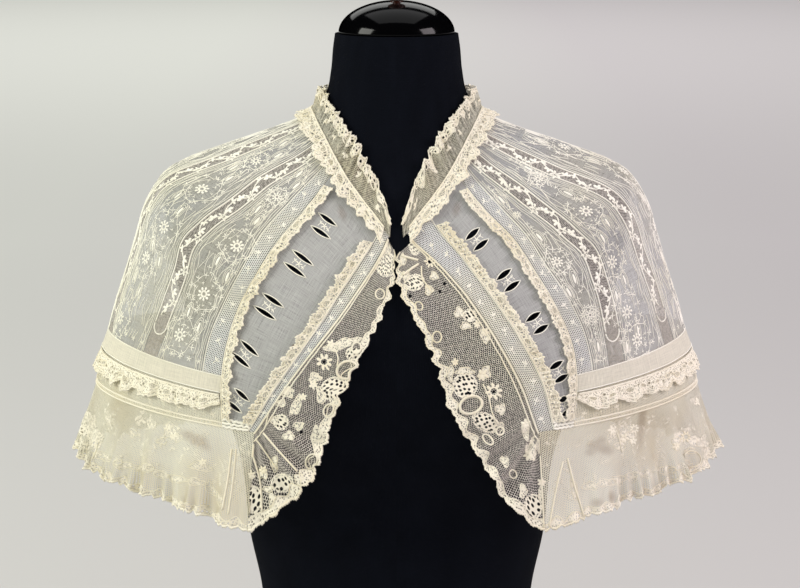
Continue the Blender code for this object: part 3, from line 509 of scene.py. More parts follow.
def turned(shape, angle, size=(1, 1, 1), offset=(0, 0, 0)):
    """A shape scaled, then turned by degrees, then moved."""
    points, faces = shape
    c, s = math.cos(math.radians(angle)), math.sin(math.radians(angle))
    points = points * np.array(size)
    points = points @ np.array([[c, s, 0], [-s, c, 0], [0, 0, 1]]) + np.array(offset)
    return points, faces


def swung(x, y, degrees, middle_x=0.0, middle_y=0.0):
    """Flat places round a middle, turned."""
    c, s = math.cos(math.radians(degrees)), math.sin(math.radians(degrees))
    return middle_x + x * c - y * s, middle_y + x * s + y * c


def tube(rings, closed=False):
    """The faces of a tube through rings of points, which has two ends unless it is a loop."""
    index = np.arange(rings.shape[0] * rings.shape[1]).reshape(rings.shape[:2])
    here, following = (index, np.roll(index, -1, 0)) if closed else (index[:-1], index[1:])
    quads = np.stack([here, np.roll(here, -1, 1), np.roll(following, -1, 1), following], axis=-1)
    return [quads.reshape(-1, 4)] + ([] if closed else [index[:1, ::-1], index[-1:]])


def together(*shapes):
    """Several shapes as one."""
    points, faces, base = [], {}, 0
    for shape_points, shape_faces in shapes:
        points.append(shape_points)
        for face in shape_faces:
            faces.setdefault(face.shape[1], []).append(face + base)
        base += len(shape_points)
    return np.concatenate(points), [np.concatenate(faces[n]) for n in sorted(faces)]


def fan(count, start, spread, length, wide, height, offset=0.5):
    """Leaves set round a middle, over a spread of degrees. offset is how many lengths out each leaf's middle is."""
    made = []
    for number in range(count):
        angle = start + spread * number / max(1, count - 1)
        middle = (*swung(length * offset, 0.0, angle), 0)
        made.append(turned(MOTIFS["leaf"], angle, (length, length * wide, height), middle))
    return together(*made)


class Stitches:
    """Embroidery and lace work that lies on one sheet, gathered up as points and faces."""

    def __init__(self, cloth):
        self.cloth, self.sizes = cloth, bpy.context.scene.collar_sizes
        self.points, self.faces, self.base = [], {}, 0

    def add(self, points, faces, flip=False):
        """Adds points and faces as they are."""
        self.points.append(points.reshape(-1, 3))
        for face in faces:
            face = face[:, ::-1] if flip else face
            self.faces.setdefault(face.shape[1], []).append(face + self.base)
        self.base += len(self.points[-1])

    def stamp(self, motif, u, v, turn=0.0, size=1.0):
        """Lays a motif on the cloth at a place, turned by degrees."""
        points, faces = turned(MOTIFS[motif], turn, (size, size, 1))
        new_u, new_v = self.cloth.moved(u, v, points[:, 0], points[:, 1])
        placed = self.cloth.at(new_u, new_v, points[:, 2] + self.sizes.wall / 2)
        self.add(placed, faces, flip=self.cloth.handed > 0)

    def cord(self, u, v, width=None, height=None, closed=False, sides=4):
        """Lays a cord or a line of stitches along a run of places."""
        width = width or self.sizes.line
        height = height or width * 0.6
        u, v = np.broadcast_arrays(np.asarray(u, float), np.asarray(v, float))
        line, normal = self.cloth.at(u, v, self.sizes.wall / 2), self.cloth.read(self.cloth.normal, u, v)
        ahead = np.roll(line, -1, 0) - np.roll(line, 1, 0) if closed else np.gradient(line, axis=0)
        beside = np.cross(unit(ahead), unit(normal))
        section = [(-0.5, -0.25), (-0.25, 0.85), (0.25, 0.85), (0.5, -0.25)] if sides == 4 else [
            (-0.5, -0.2), (0, 1.0), (0.5, -0.2)]
        rings = np.stack([line + beside * x * width + normal * y * height for x, y in section], axis=1)
        self.add(rings, tube(rings, closed))

    def draw(self, motif, x, y, turn=0.0, size=1.0):
        """Lays a motif where the camera sees a pixel, as it should look from there."""
        points, faces = turned(MOTIFS[motif], turn, (size, size, 1))
        u, v, change = self.cloth.spot(x, y)
        moved = (points[:, :2] * (1, -1) / PIXEL) @ change.T
        # Where the cloth turns away from the camera the motif is drawn out less than it would be.
        reach = np.hypot(moved[:, 0] * np.interp(v, self.cloth.v, self.cloth.width), moved[:, 1] * self.cloth.down[-1])
        moved *= np.minimum(1, 1.5 * np.hypot(*points[:, :2].T) / np.maximum(reach, 1e-9))[:, None]
        self.add(self.cloth.at(u + moved[:, 0], v + moved[:, 1], points[:, 2] + self.sizes.wall / 2), faces)

    def trace(self, points, width, closed=False, steps=4, sides=4):
        """Lays a cord where the camera sees a run of pixels, smoothly through them."""
        points = np.array(points, float)
        count = len(points)
        t = np.linspace(0, count if closed else count - 1, count * steps, endpoint=not closed)
        i = np.minimum(t.astype(int), count - 1 if closed else count - 2)
        part = (t - i)[:, None]
        wrap = (lambda k: k % count) if closed else (lambda k: np.clip(k, 0, count - 1))
        a, b, c, d = (points[wrap(i + k)] for k in (-1, 0, 1, 2))
        way = 0.5 * (2 * b + (c - a) * part + (2 * a - 5 * b + 4 * c - d) * part ** 2
                     + (3 * b - a - 3 * c + d) * part ** 3)
        places = np.array([self.cloth.spot(x, y)[:2] for x, y in way])
        self.cord(places[:, 0], places[:, 1], width, None, closed, sides)

    def round(self, x, y, across, along, turn=0.0, width=None, lobes=0.0):
        """Lays a cord round an oval as the camera sees it, in pixels. lobes is how uneven its outline is."""
        angle = np.linspace(0, 2 * math.pi, 12, endpoint=False)
        reach = 1 + lobes * (np.sin(3 * angle + x) + 0.7 * np.sin(5 * angle + y))
        outline = swung(np.cos(angle) * across * reach, np.sin(angle) * along * reach, turn, x, y)
        self.trace(np.stack(outline, axis=1), width, closed=True, steps=2, sides=3)

    def ribbon(self, u, inner, outer):
        """Lays a low band of close stitches between two runs of v, with its crest in the middle."""
        u, inner, outer = np.broadcast_arrays(np.asarray(u, float), inner, outer)
        mid, half = inner + (outer - inner) * 0.5, self.sizes.wall / 2
        rows = [(inner, half), (mid, half + self.sizes.relief), (outer, half * 0.5), (mid, -half)]
        rings = np.stack([self.cloth.at(u, v, lift) for v, lift in rows], axis=1)
        self.add(rings, tube(rings), flip=self.cloth.handed > 0)

    def loop(self, u, v, across, along, turn, width, steps=12):
        """Lays a cord round an oval whose middle is a place."""
        angle = np.linspace(0, 2 * math.pi, steps, endpoint=False)
        x, y = swung(np.cos(angle) * across, np.sin(angle) * along, turn)
        self.cord(*self.cloth.moved(u, v, x, y), width, closed=True)


def put_mesh(name, points, faces):
    """An object at the origin with these points and faces, shaded smooth."""
    mesh = bpy.data.meshes.new(name)
    loops = np.concatenate([f.ravel() for f in faces]).astype(np.int32)
    totals = np.concatenate([np.full(len(f), f.shape[1]) for f in faces])
    mesh.vertices.add(len(points))
    mesh.vertices.foreach_set("co", np.asarray(points, np.float32).ravel())
    mesh.loops.add(len(loops))
    mesh.loops.foreach_set("vertex_index", loops)
    mesh.polygons.add(len(totals))
    mesh.polygons.foreach_set("loop_start", np.concatenate([[0], np.cumsum(totals)[:-1]]).astype(np.int32))
    mesh.polygons.foreach_set("use_smooth", np.ones(len(totals), bool))
    mesh.update(calc_edges=True)
    if mesh.validate():
        raise RuntimeError(f"{name} has faces that are not sound")
    made = bpy.data.objects.new(name, mesh)
    bpy.context.scene.collection.objects.link(made)
    return made


def put_sheet(name, cloth, finish, wall, marks, gathered):
    """A thin closed wall of cloth about a shape. marks gives the sheet's painted values, such as its holes."""
    rows, columns = cloth.points.shape[:2]
    count = rows * columns
    index = np.arange(count).reshape(rows, columns)
    quads = np.stack([index[:-1, :-1], index[:-1, 1:], index[1:, 1:], index[1:, :-1]], axis=-1)
    marks = {key: np.broadcast_to(value, (rows, columns)).astype(np.float32) for key, value in marks.items()}
    keep = np.ones(quads.shape[:2], bool)
    if "hole" in marks:
        keep = marks["hole"].ravel()[quads].min(axis=-1) < 0.97
    walls = []
    padded = np.pad(keep, 1)
    around = (padded[:-2, 1:-1], padded[1:-1, 2:], padded[2:, 1:-1], padded[1:-1, :-2])
    for corner, beyond in enumerate(around):
        edge = keep & ~beyond
        a, b = quads[..., corner][edge], quads[..., (corner + 1) % 4][edge]
        walls.append(np.stack([b, a, a + count, b + count], axis=-1))
    faces = np.concatenate([quads[keep], quads[keep][:, ::-1] + count, *walls])
    if cloth.handed < 0:
        faces = faces[:, ::-1]
    half = cloth.normal * wall / 2
    points = np.concatenate([(cloth.points + half).reshape(-1, 3), (cloth.points - half).reshape(-1, 3)])
    used = np.zeros(len(points), bool)
    used[faces.ravel()] = True
    renumber = np.cumsum(used) - 1
    made = put_mesh(name, points[used], [renumber[faces]])
    width = cloth.width.mean() if gathered else cloth.width[:, None]
    flat = np.stack([(np.linspace(0, 1, columns) - 0.5) * width + 0 * cloth.down[:, None],
                     -cloth.down[:, None] + np.zeros((rows, columns))], axis=-1)
    flat = np.concatenate([flat.reshape(-1, 2)] * 2)[used]
    layer = made.data.uv_layers.new(name="UVMap")
    loops = np.zeros(len(made.data.loops), np.int32)
    made.data.loops.foreach_get("vertex_index", loops)
    layer.data.foreach_set("uv", flat[loops].astype(np.float32).ravel())
    for key in PAINTED:
        values = marks.get(key, np.zeros((rows, columns), np.float32))
        painted = made.data.attributes.new(key, "FLOAT", "POINT")
        painted.data.foreach_set("value", np.concatenate([values.ravel()] * 2)[used])
    made.data.materials.append(finish)
    return made


def stand_for(made, node):
    """Attaches a piece to the body and hides the solid that it stands for."""
    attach(made, BODY)
    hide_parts(node)


def put_piece(node, finish, work, thread, marks=None, gathered=False):
    """Makes a sheet and the stitched work on it, attaches both to the body and hides the solid that the sheet stands
    for.
    """
    name = f"{node}_{finish.rpartition('_')[2]}"
    sheet = put_sheet(name, work.cloth, FINISHES[finish], work.sizes.wall, marks or {}, gathered)
    stand_for(sheet, node)
    faces = [np.concatenate(work.faces[n]) for n in sorted(work.faces)]
    piece = put_mesh(f"{node}_work", np.concatenate(work.points), faces)
    piece.data.materials.append(FINISHES[thread])
    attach(piece, BODY)


def ovals(cloth, places, soft=0.0008, lens=False):
    """A painted value over a sheet: 1 inside ovals or lenses given as u, v, half width, half height and turn."""
    rows, columns = cloth.points.shape[:2]
    u, v = np.meshgrid(np.linspace(0, 1, columns), np.linspace(0, 1, rows))
    width, length = np.interp(v, cloth.v, cloth.width), cloth.length_at(v)
    painted = np.zeros((rows, columns))
    for place_u, place_v, across, along, turn in places:
        x, y = swung((u - place_u) * width, cloth.length_at(np.array(place_v)) - length, -turn)
        x, y = x / across, y / along
        inside = (1 - x * x - np.abs(y)) * along if lens else (1 - np.hypot(x, y)) * min(across, along)
        painted = np.maximum(painted, np.clip(inside / soft + 0.5, 0, 1))
    return painted


def seen_ovals(cloth, places, soft=1.2, lobes=0.0):
    """A painted value over a sheet: 1 inside ovals given in pixels as x, y, half width, half height and turn."""
    painted = np.zeros(cloth.points.shape[:2])
    for x, y, across, along, turn in places:
        dx, dy = swung(cloth.pixels[..., 0] - x, cloth.pixels[..., 1] - y, -turn)
        dx, dy = dx / across, dy / along
        angle = np.arctan2(dy, dx)
        inside = 1 - np.hypot(dx, dy) / (1 + lobes * (np.sin(3 * angle + x) + 0.7 * np.sin(5 * angle + y)))
        painted = np.maximum(painted, np.clip(inside * min(across, along) / soft + 0.5, 0, 1))
    return painted


def wobble(t, seed, waves, spread=0.35, terms=4):
    """An uneven wave, about -1 to 1, with about so many waves from t 0 to 1."""
    rng = np.random.default_rng(seed)
    rates, starts = waves * rng.uniform(1 - spread, 1 + spread, terms), rng.uniform(0, 2 * math.pi, terms)
    total = sum(np.sin(2 * math.pi * rate * t + start) for rate, start in zip(rates, starts))
    return total / terms * 1.6


def give(node, values):
    """Sets some of a node's inputs."""
    for key, value in values.items():
        node.inputs[key].default_value = value


def add_node(tree, kind, inputs=None, **settings):
    """Adds a node with its settings, and gives each input a value or links it to another node's output."""
    made = tree.nodes.new(kind)
    for key, value in settings.items():
        setattr(made, key, value)
    for key, value in (inputs or {}).items():
        if isinstance(value, bpy.types.NodeSocket):
            tree.links.new(value, made.inputs[key])
        else:
            made.inputs[key].default_value = value
    return made


def maths(tree, operation, *values):
    """A calculation with values or nodes' outputs."""
    return add_node(tree, "ShaderNodeMath", dict(enumerate(values)), operation=operation).outputs[0]


def cloudy(tree, place, scale, detail):
    """Cloudy noise. Its clouds are about as wide as a metre divided by the scale."""
    return add_node(tree, "ShaderNodeTexNoise", {"Vector": place, "Scale": scale, "Detail": detail})


def new_material(name):
    """A material with its node tree, its Principled node and the place on the object, in metres."""
    made = bpy.data.materials.new(name)
    made.use_nodes = True
    tree = made.node_tree
    return made, tree, tree.nodes["Principled BSDF"], add_node(tree, "ShaderNodeTexCoord").outputs["Object"]


def waves(tree, flat, cell):
    """Three waves across the flat cloth that agree in the middle of each hexagonal cell."""
    pitch = 4 * math.pi / (math.sqrt(3) * cell)
    total = None
    for turn in (0, 60, 120):
        direction = (math.cos(math.radians(turn)) * pitch, math.sin(math.radians(turn)) * pitch, 0)
        dot = add_node(tree, "ShaderNodeVectorMath", {0: flat, 1: direction}, operation="DOT_PRODUCT")
        wave = maths(tree, "COSINE", dot.outputs["Value"])
        total = wave if total is None else maths(tree, "ADD", total, wave)
    return total


def ramp(tree, value, low, high, start=0.0, stop=1.0):
    """A value's place between two others, as a new range."""
    return add_node(tree, "ShaderNodeMapRange", {"Value": value, "From Min": low, "From Max": high,
                                                 "To Min": start, "To Max": stop}).outputs[0]


def blend(tree, share, a, b):
    """A value between two others."""
    return add_node(tree, "ShaderNodeMix", {"Factor": share, "A": a, "B": b}).outputs["Result"]


def blend_colour(tree, share, a, b):
    """A colour between two others."""
    a, b = (c if isinstance(c, bpy.types.NodeSocket) else (*c, 1) for c in (a, b))
    return add_node(tree, "ShaderNodeMix", {"Factor": share, "A": a, "B": b}, data_type="RGBA").outputs["Result"]


def painted_side_tint(tree, place, colour):
    """Painted light: the colour is tinted a little warmer on the collar's left and a pinkish white on its right, as
    the warm left lamp and the pinkish right lamp light it.
    """
    across = add_node(tree, "ShaderNodeSeparateXYZ", {0: place}).outputs[0]
    tint = blend_colour(tree, ramp(tree, across, -0.2, 0.2), (1.0, 0.99, 0.91), (1.0, 0.965, 0.955))
    return add_node(tree, "ShaderNodeMix", {"Factor": 1.0, "A": colour, "B": tint}, data_type="RGBA",
                    blend_type="MULTIPLY").outputs["Result"]


def lawn_cover(tree, flat, thread, cover):
    """How much of the surface a plain weave fills: threads both ways, with their thick and thin lengths."""
    total = None
    for direction in ((2 * math.pi / thread, 0, 0), (0, 2 * math.pi / thread, 0)):
        dot = add_node(tree, "ShaderNodeVectorMath", {0: flat, 1: direction}, operation="DOT_PRODUCT")
        wave = maths(tree, "COSINE", dot.outputs["Value"])
        total = wave if total is None else maths(tree, "ADD", total, wave)
    slubs = None
    for scale in ((60, 1700, 1), (1700, 60, 1)):
        mapped = add_node(tree, "ShaderNodeMapping", {"Vector": flat, "Scale": scale})
        noise = cloudy(tree, mapped.outputs[0], 1.0, 2.0)
        value = noise.outputs[0]
        slubs = value if slubs is None else maths(tree, "ADD", slubs, value)
    base = add_node(tree, "ShaderNodeMath", {0: total, 1: 0.07, 2: cover - 0.45}, operation="MULTIPLY_ADD")
    return total, add_node(tree, "ShaderNodeMath", {0: slubs, 1: 0.45, 2: base.outputs[0]},
                           operation="MULTIPLY_ADD", use_clamp=True).outputs[0]


def cloth_material(name, kind, cover, colours, base, aged, cell):
    """Sheer cotton cloth: light passes between its threads, as through the real net, lawn or worked lace.

    Painted values on the sheet change it: "open" gives the large holes of a lace filling, "dense" the close
    work of lace with its small eyelets, "hole" nothing at all, and the last a brown mark: a real stain in
    places, and painted shade in others, such as the hem's fold valleys.
    """
    made, tree, shader, place = new_material(name)
    flat = add_node(tree, "ShaderNodeUVMap", uv_map="UVMap").outputs[0]
    painted = {key: add_node(tree, "ShaderNodeAttribute", attribute_name=key).outputs["Fac"]
               for key in PAINTED}
    if kind == "lawn":
        relief, alpha = lawn_cover(tree, flat, cell, cover)
        height = relief
    else:
        relief = waves(tree, flat, cell)
        uneven = cloudy(tree, flat, 420.0, 2.0).outputs[0]
        uneven = ramp(tree, uneven, 0.3, 0.7, -0.35, 0.35)
        edge = maths(tree, "ADD", relief, uneven)
        alpha = ramp(tree, edge, cover - 0.5, cover + 0.5, 1.0, 0.0)
        # The holes of a filling are uneven and about 3.6 mm apart.
        cells = add_node(tree, "ShaderNodeTexVoronoi", {"Vector": flat, "Scale": 275.0, "Randomness": 0.5},
                         voronoi_dimensions="2D").outputs["Distance"]
        alpha = blend(tree, painted["open"], alpha, ramp(tree, cells, 0.27, 0.37, 0.0, 0.96))
        # Close work has eyelets about 1.6 mm apart, fewer in some places, and its edge is frayed.
        crumbs = add_node(tree, "ShaderNodeTexVoronoi", {"Vector": flat, "Scale": 640.0, "Randomness": 1.0},
                          voronoi_dimensions="2D").outputs["Distance"]
        patch = cloudy(tree, flat, 330.0, 2.0).outputs[0]
        eyelets = blend(tree, ramp(tree, patch, 0.44, 0.62), ramp(tree, crumbs, 0.2, 0.44, 0.1, 0.97), 0.93)
        frayed = maths(tree, "MULTIPLY_ADD", patch, 1.1, painted["dense"])
        frayed = ramp(tree, frayed, 0.86, 1.12)
        alpha = blend(tree, frayed, alpha, eyelets)
        worked = add_node(tree, "ShaderNodeMath", {0: frayed, 1: painted["open"]}, use_clamp=True).outputs[0]
        lumps = maths(tree, "MULTIPLY_ADD", patch, 4.0, eyelets)
        height = blend(tree, worked, relief, lumps)
    keep = ramp(tree, painted["hole"], 0.35, 0.65, 1.0, 0.0)
    shown = maths(tree, "MULTIPLY", alpha, keep)
    patches = cloudy(tree, place, 11.0, 5.0).outputs[0]
    colour = blend_colour(tree, ramp(tree, patches, 0.42, 0.7), base, aged)
    if kind == "net":
        colour = blend_colour(tree, worked, colour, colours.cream)
    # The side tint is painted light. Brown marks stains and, in places such as the hem's fold valleys, painted shade.
    colour = painted_side_tint(tree, place, blend_colour(tree, painted["stain_and_shade"], colour, colours.brown))
    bump = add_node(tree, "ShaderNodeBump", {"Height": height, "Strength": 0.5, "Distance": 0.0004})
    for key, value in {"Base Color": colour, "Alpha": shown, "Normal": bump.outputs[0]}.items():
        tree.links.new(value, shader.inputs[key])
    give(shader, {"Roughness": 0.9, "Specular IOR Level": 0.2, "Sheen Weight": 0.1})
    return made


def thread_material(name, base, aged):
    """Mercerised cotton thread laid side by side: fine lines, a soft sheen and a little yellowing."""
    made, tree, shader, place = new_material(name)
    patches = cloudy(tree, place, 14.0, 5.0).outputs[0]
    # Threads are about 0.3 mm apart.
    strands = cloudy(tree, place, 2600.0, 1.0).outputs[0]
    raised = add_node(tree, "ShaderNodeBump", {"Height": strands, "Strength": 0.6, "Distance": 0.00012})
    # The side tint is painted light.
    colour = painted_side_tint(tree, place, blend_colour(tree, ramp(tree, patches, 0.42, 0.75), base, aged))
    tree.links.new(colour, shader.inputs["Base Color"])
    tree.links.new(raised.outputs[0], shader.inputs["Normal"])
    give(shader, {"Roughness": 0.75, "Specular IOR Level": 0.3, "Sheen Weight": 0.15})
    return made


def jersey_material(colours):
    """Matt black cotton jersey with a faint blue cast. Its wales are 1.1 mm apart, a little coarser than real."""
    made, tree, shader, _ = new_material("knitted_black_jersey")
    flat = add_node(tree, "ShaderNodeUVMap", uv_map="UVMap").outputs[0]
    parts = add_node(tree, "ShaderNodeSeparateXYZ", {0: flat})
    wale = maths(tree, "MULTIPLY", parts.outputs[0], math.pi / 0.0011)
    ridge = maths(tree, "SINE", wale)
    ridge = maths(tree, "ABSOLUTE", ridge)
    course = add_node(tree, "ShaderNodeMath", {0: parts.outputs[1], 1: 2 * math.pi / 0.0014, 2: 0.0},
                      operation="MULTIPLY_ADD").outputs[0]
    loops = maths(tree, "SINE", course)
    height = maths(tree, "MULTIPLY_ADD", loops, 0.25, ridge)
    lint = cloudy(tree, flat, 30.0, 3.0).outputs[0]
    # Painted shade: the colour is darker in the furrows between the wales and loops, and it varies with the cloudy
    # lint.
    knit_shade_and_lint = maths(tree, "MULTIPLY_ADD", height, 0.35, lint)
    share = ramp(tree, knit_shade_and_lint, 0.3, 1.1)
    dark = tuple(c * 0.55 for c in colours.jersey)
    colour = blend_colour(tree, share, dark, colours.jersey)
    bump = add_node(tree, "ShaderNodeBump", {"Height": height, "Strength": 0.5, "Distance": 0.0003}).outputs[0]
    tree.links.new(colour, shader.inputs["Base Color"])
    tree.links.new(bump, shader.inputs["Normal"])
    give(shader, {"Roughness": 0.95, "Specular IOR Level": 0.06})
    return made


def gloss_material(colours):
    """Black lacquered plastic: near black, with sharp reflections that show faint dust and polish."""
    made, tree, shader, place = new_material("lacquered_black_plastic")
    dust = cloudy(tree, place, 900.0, 3.0).outputs[0]
    rough = ramp(tree, dust, 0.0, 1.0, 0.05, 0.16)
    tree.links.new(rough, shader.inputs["Roughness"])
    give(shader, {"Base Color": (*colours.gloss, 1), "IOR": 1.5, "Specular IOR Level": 0.22})
    return made


def wood_material(colours):
    """Turned beech, stained reddish brown and varnished: fine grain lines along its axis."""
    made, tree, shader, place = new_material("stained_turned_beech")
    mapped = add_node(tree, "ShaderNodeMapping", {"Vector": place, "Scale": (900, 900, 90)}).outputs[0]
    grain = cloudy(tree, mapped, 1.0, 4.0).outputs[0]
    dark = tuple(c * 0.4 for c in colours.wood)
    colour = blend_colour(tree, grain, dark, colours.wood)
    tree.links.new(colour, shader.inputs["Base Color"])
    give(shader, {"Roughness": 0.35, "Coat Weight": 0.4})
    return made


class CollarOperator:
    """What the collar's operators share."""

    bl_options = {"REGISTER"}

    @property
    def sizes(self):
        return bpy.context.scene.collar_sizes

    @property
    def colours(self):
        return bpy.context.scene.collar_colours


class COLLAR_OT_threads(CollarOperator, bpy.types.Operator):
    """Models each stitch once and mixes the finishes"""

    bl_idname = "collar.threads"
    bl_label = "Stitches and finishes"

    def execute(self, context):
        sizes, colours = self.sizes, self.colours
        bpy.ops.object.select_all(action="DESELECT")
        bpy.ops.mesh.primitive_uv_sphere_add(segments=6, ring_count=4, radius=0.5)
        bpy.ops.object.mode_set(mode="EDIT")
        bpy.ops.mesh.select_all(action="SELECT")
        bpy.ops.transform.rotate(value=math.pi / 2, orient_axis="Y", center_override=(0, 0, 0))
        bpy.ops.object.mode_set(mode="OBJECT")
        taken("leaf", bpy.context.object)
        bpy.ops.mesh.primitive_torus_add(major_segments=12, minor_segments=4, major_radius=1.0, minor_radius=0.2)
        taken("ring", bpy.context.object)
        self.compose(sizes)
        cell, thread = sizes.net_cell, sizes.lawn_thread
        net, ivory, aged, lawn = colours.net, colours.ivory, colours.aged, colours.lawn
        for key, name, kind, cover, base, old, size in (
                ("net", "cotton_hexagon_net", "net", -0.88, net, ivory, cell * 1.25),
                ("frill_net", "neck_frill_net", "net", -0.7, ivory, aged, cell * 0.75),
                ("insertion_net", "fine_insertion_net", "net", -0.85, net, net, cell),
                ("strip_net", "light_strip_net", "net", 0.3, lawn, ivory, cell * 1.2),
                ("ground_lace", "aged_lace_ground", "net", -0.1, colours.cream, aged, cell),
                ("hem_net", "aged_flounce_net", "net", 0.36, ivory, colours.tan, cell),
                ("lawn", "sheer_cotton_lawn", "lawn", 0.45, lawn, lawn, thread),
                ("panel_lawn", "sheer_panel_lawn", "lawn", 0.35, lawn, ivory, thread),
                ("tuck_lawn", "doubled_cotton_lawn", "lawn", 0.8, colours.cream, ivory, thread)):
            FINISHES[key] = cloth_material(name, kind, cover, colours, base, old, size)
        FINISHES["white"] = thread_material("white_satin_stitch_cotton", colours.white, ivory)
        FINISHES["cream"] = thread_material("cream_lace_cotton", colours.cream, colours.tan)
        FINISHES["jersey"] = jersey_material(colours)
        FINISHES["gloss"] = gloss_material(colours)
        FINISHES["wood"] = wood_material(colours)
        return {"FINISHED"}

    def compose(self, sizes):
        """Sets leaves, rings and dots together into the motifs of the collar."""
        h, r = sizes.relief, sizes.flower

        def hoop(radius, height, turn=0):
            return turned(MOTIFS["ring"], turn, (radius, radius, height))

        MOTIFS.update(
            flower=together(hoop(r * 0.38, h * 2.6), hoop(r * 0.26, h * 2.2, 15),
                            fan(9, 0, 320, r * 0.42, 0.72, h * 1.3, 1.55)),
            star=fan(5, 0, 288, 0.003, 0.25, h * 0.8, 0.45),
            sprig=together(fan(3, 20, 140, 0.0036, 0.24, h * 0.8), fan(1, -90, 0, 0.0034, 0.2, h * 0.8)),
            trefoil=fan(3, 20, 140, 0.0048, 0.6, h),
            bud=together(fan(3, 40, 100, 0.003, 0.3, h * 0.8), fan(1, -90, 0, 0.0034, 0.2, h * 0.8)),
            picot=hoop(0.0014, h * 2.5),
            eyelet=together(hoop(0.0015, h * 3), fan(5, 0, 288, 0.0026, 0.6, h, 1.1)),
            pod=turned(MOTIFS["leaf"], 90, (0.0095, 0.0027, h * 1.6)),
            bloom=together(hoop(0.0034, h * 3), fan(8, 10, 315, 0.0044, 0.62, h, 1.15)),
            frond=together(fan(5, -50, 280, 0.0052, 0.62, h, 0.55), fan(1, -90, 0, 0.006, 0.35, h)))


class COLLAR_OT_form(CollarOperator, bpy.types.Operator):
    """Builds the dress form's smooth jersey torso, its gloss neck cap and its turned finial"""

    bl_idname = "collar.form"
    bl_label = "Dress form"

    def execute(self, context):
        turns = np.linspace(0, 360, FORM_SIDES, endpoint=False)
        angle = np.where(turns <= 180, turns, 360 - turns)
        side = np.where(turns <= 180, RIGHT, LEFT)
        rows = [ring_point(FORM_NECK, row[0], angle, side) for row in FORM_NECK]
        rows += [lifted(np.full(FORM_SIDES, share), angle, side, np.full(FORM_SIDES, -FORM_INSET))
                 for share in FORM_SHOULDER_SHARES]
        rows += [ring_point(FORM_BODY, row[0], angle, side) for row in FORM_BODY]
        rows = np.array(rows)
        step = np.linalg.norm(np.diff(rows, axis=0), axis=2).mean(axis=1)
        passed = np.concatenate([[0], np.cumsum(step)])
        fine = np.linspace(0, passed[-1], FORM_ROWS)
        rings = curve(passed, rows, fine)
        index = np.arange(FORM_ROWS * FORM_SIDES).reshape(FORM_ROWS, FORM_SIDES)
        quads = np.stack([index[:-1], index[1:], np.roll(index[1:], -1, 1), np.roll(index[:-1], -1, 1)], axis=-1)
        torso = put_mesh("torso", rings.reshape(-1, 3), [quads.reshape(-1, 4), index[:1], index[-1:, ::-1]])
        layer = torso.data.uv_layers.new(name="UVMap")
        loops = np.zeros(len(torso.data.loops), np.int32)
        torso.data.loops.foreach_get("vertex_index", loops)
        girth = 0.9
        flat = np.stack([np.tile(turns / 360 * girth, FORM_ROWS), np.repeat(fine, FORM_SIDES)], axis=-1)[loops]
        flat[:, 0] = np.where((loops % FORM_SIDES == 0) & (np.arange(len(loops)) % 4 >= 2), girth, flat[:, 0])
        layer.data.foreach_set("uv", flat.astype(np.float32).ravel())
        bpy.ops.object.select_all(action="DESELECT")
        context.view_layer.objects.active = torso
        torso.select_set(True)
        self.dress(torso, "torso", "jersey", "form_torso", "black_jersey")
        self.cap()
        self.finial()
        return {"FINISHED"}

    def dress(self, made, name, finish, node, slot):
        """Names, colours and smooths the active part, attaches it to the body and hides the solid that it stands for.
        """
        made.name = made.data.name = name
        made.data.materials.append(FINISHES[finish])
        bpy.ops.object.shade_smooth_by_angle(angle=math.radians(50))
        stand_for(made, node)

    def cap(self):
        """The dome that closes the neck: half an oval ball, the edge of its foot rounded by a bevel."""
        low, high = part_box("form_cap")
        middle = (low + high) / 2
        half = (high - low) / 2
        bpy.ops.object.select_all(action="DESELECT")
        bpy.ops.mesh.primitive_uv_sphere_add(segments=96, ring_count=48, radius=1.0)
        cap = bpy.context.object
        bpy.ops.object.mode_set(mode="EDIT")
        bpy.ops.mesh.select_all(action="SELECT")
        bpy.ops.mesh.bisect(plane_co=(0, 0, 0), plane_no=(0, 0, 1), clear_inner=True, use_fill=True)
        bpy.ops.mesh.select_all(action="SELECT")
        bpy.ops.transform.resize(value=(half.x, half.y, half.z * 2), center_override=(0, 0, 0))
        bpy.ops.transform.translate(value=(middle.x, middle.y, low.z))
        bpy.ops.object.mode_set(mode="OBJECT")
        bevel = cap.modifiers.new("rim", "BEVEL")
        bevel.width, bevel.segments, bevel.limit_method, bevel.angle_limit = 0.0012, 3, "ANGLE", math.radians(60)
        bpy.ops.object.modifier_apply(modifier="rim")
        self.dress(cap, "neck_cap", "gloss", "form_cap", "black_gloss")

    def finial(self):
        """A small turned finial, spun from its profile."""
        low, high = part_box("form_finial")
        profile = ((0.0, 0.0), (0.006, 0.0), (0.0062, 0.0016), (0.006, 0.003), (0.0042, 0.0042), (0.0036, 0.006),
                   (0.004, 0.008), (0.006, 0.01), (0.0082, 0.012), (0.0096, 0.014), (0.01, 0.016),
                   (0.0098, 0.018), (0.0088, 0.02), (0.007, 0.0222), (0.005, 0.0237), (0.0025, 0.0247),
                   (0.0, 0.025))
        bpy.ops.object.select_all(action="DESELECT")
        bpy.ops.mesh.primitive_circle_add(vertices=3, radius=0.001)
        made = bpy.context.object
        mesh = made.data
        mesh.clear_geometry()
        mesh.from_pydata([(r, 0, low.z + z) for r, z in profile], [(i, i + 1) for i in range(len(profile) - 1)], [])
        bpy.ops.object.mode_set(mode="EDIT")
        bpy.ops.mesh.select_all(action="SELECT")
        bpy.ops.mesh.spin(steps=48, angle=2 * math.pi, center=(0, 0, 0), axis=(0, 0, 1))
        bpy.ops.mesh.select_all(action="SELECT")
        bpy.ops.mesh.remove_doubles(threshold=0.00002)
        bpy.ops.mesh.normals_make_consistent(inside=False)
        bpy.ops.object.mode_set(mode="OBJECT")
        self.dress(made, "finial", "wood", "form_finial", "turned_wood")


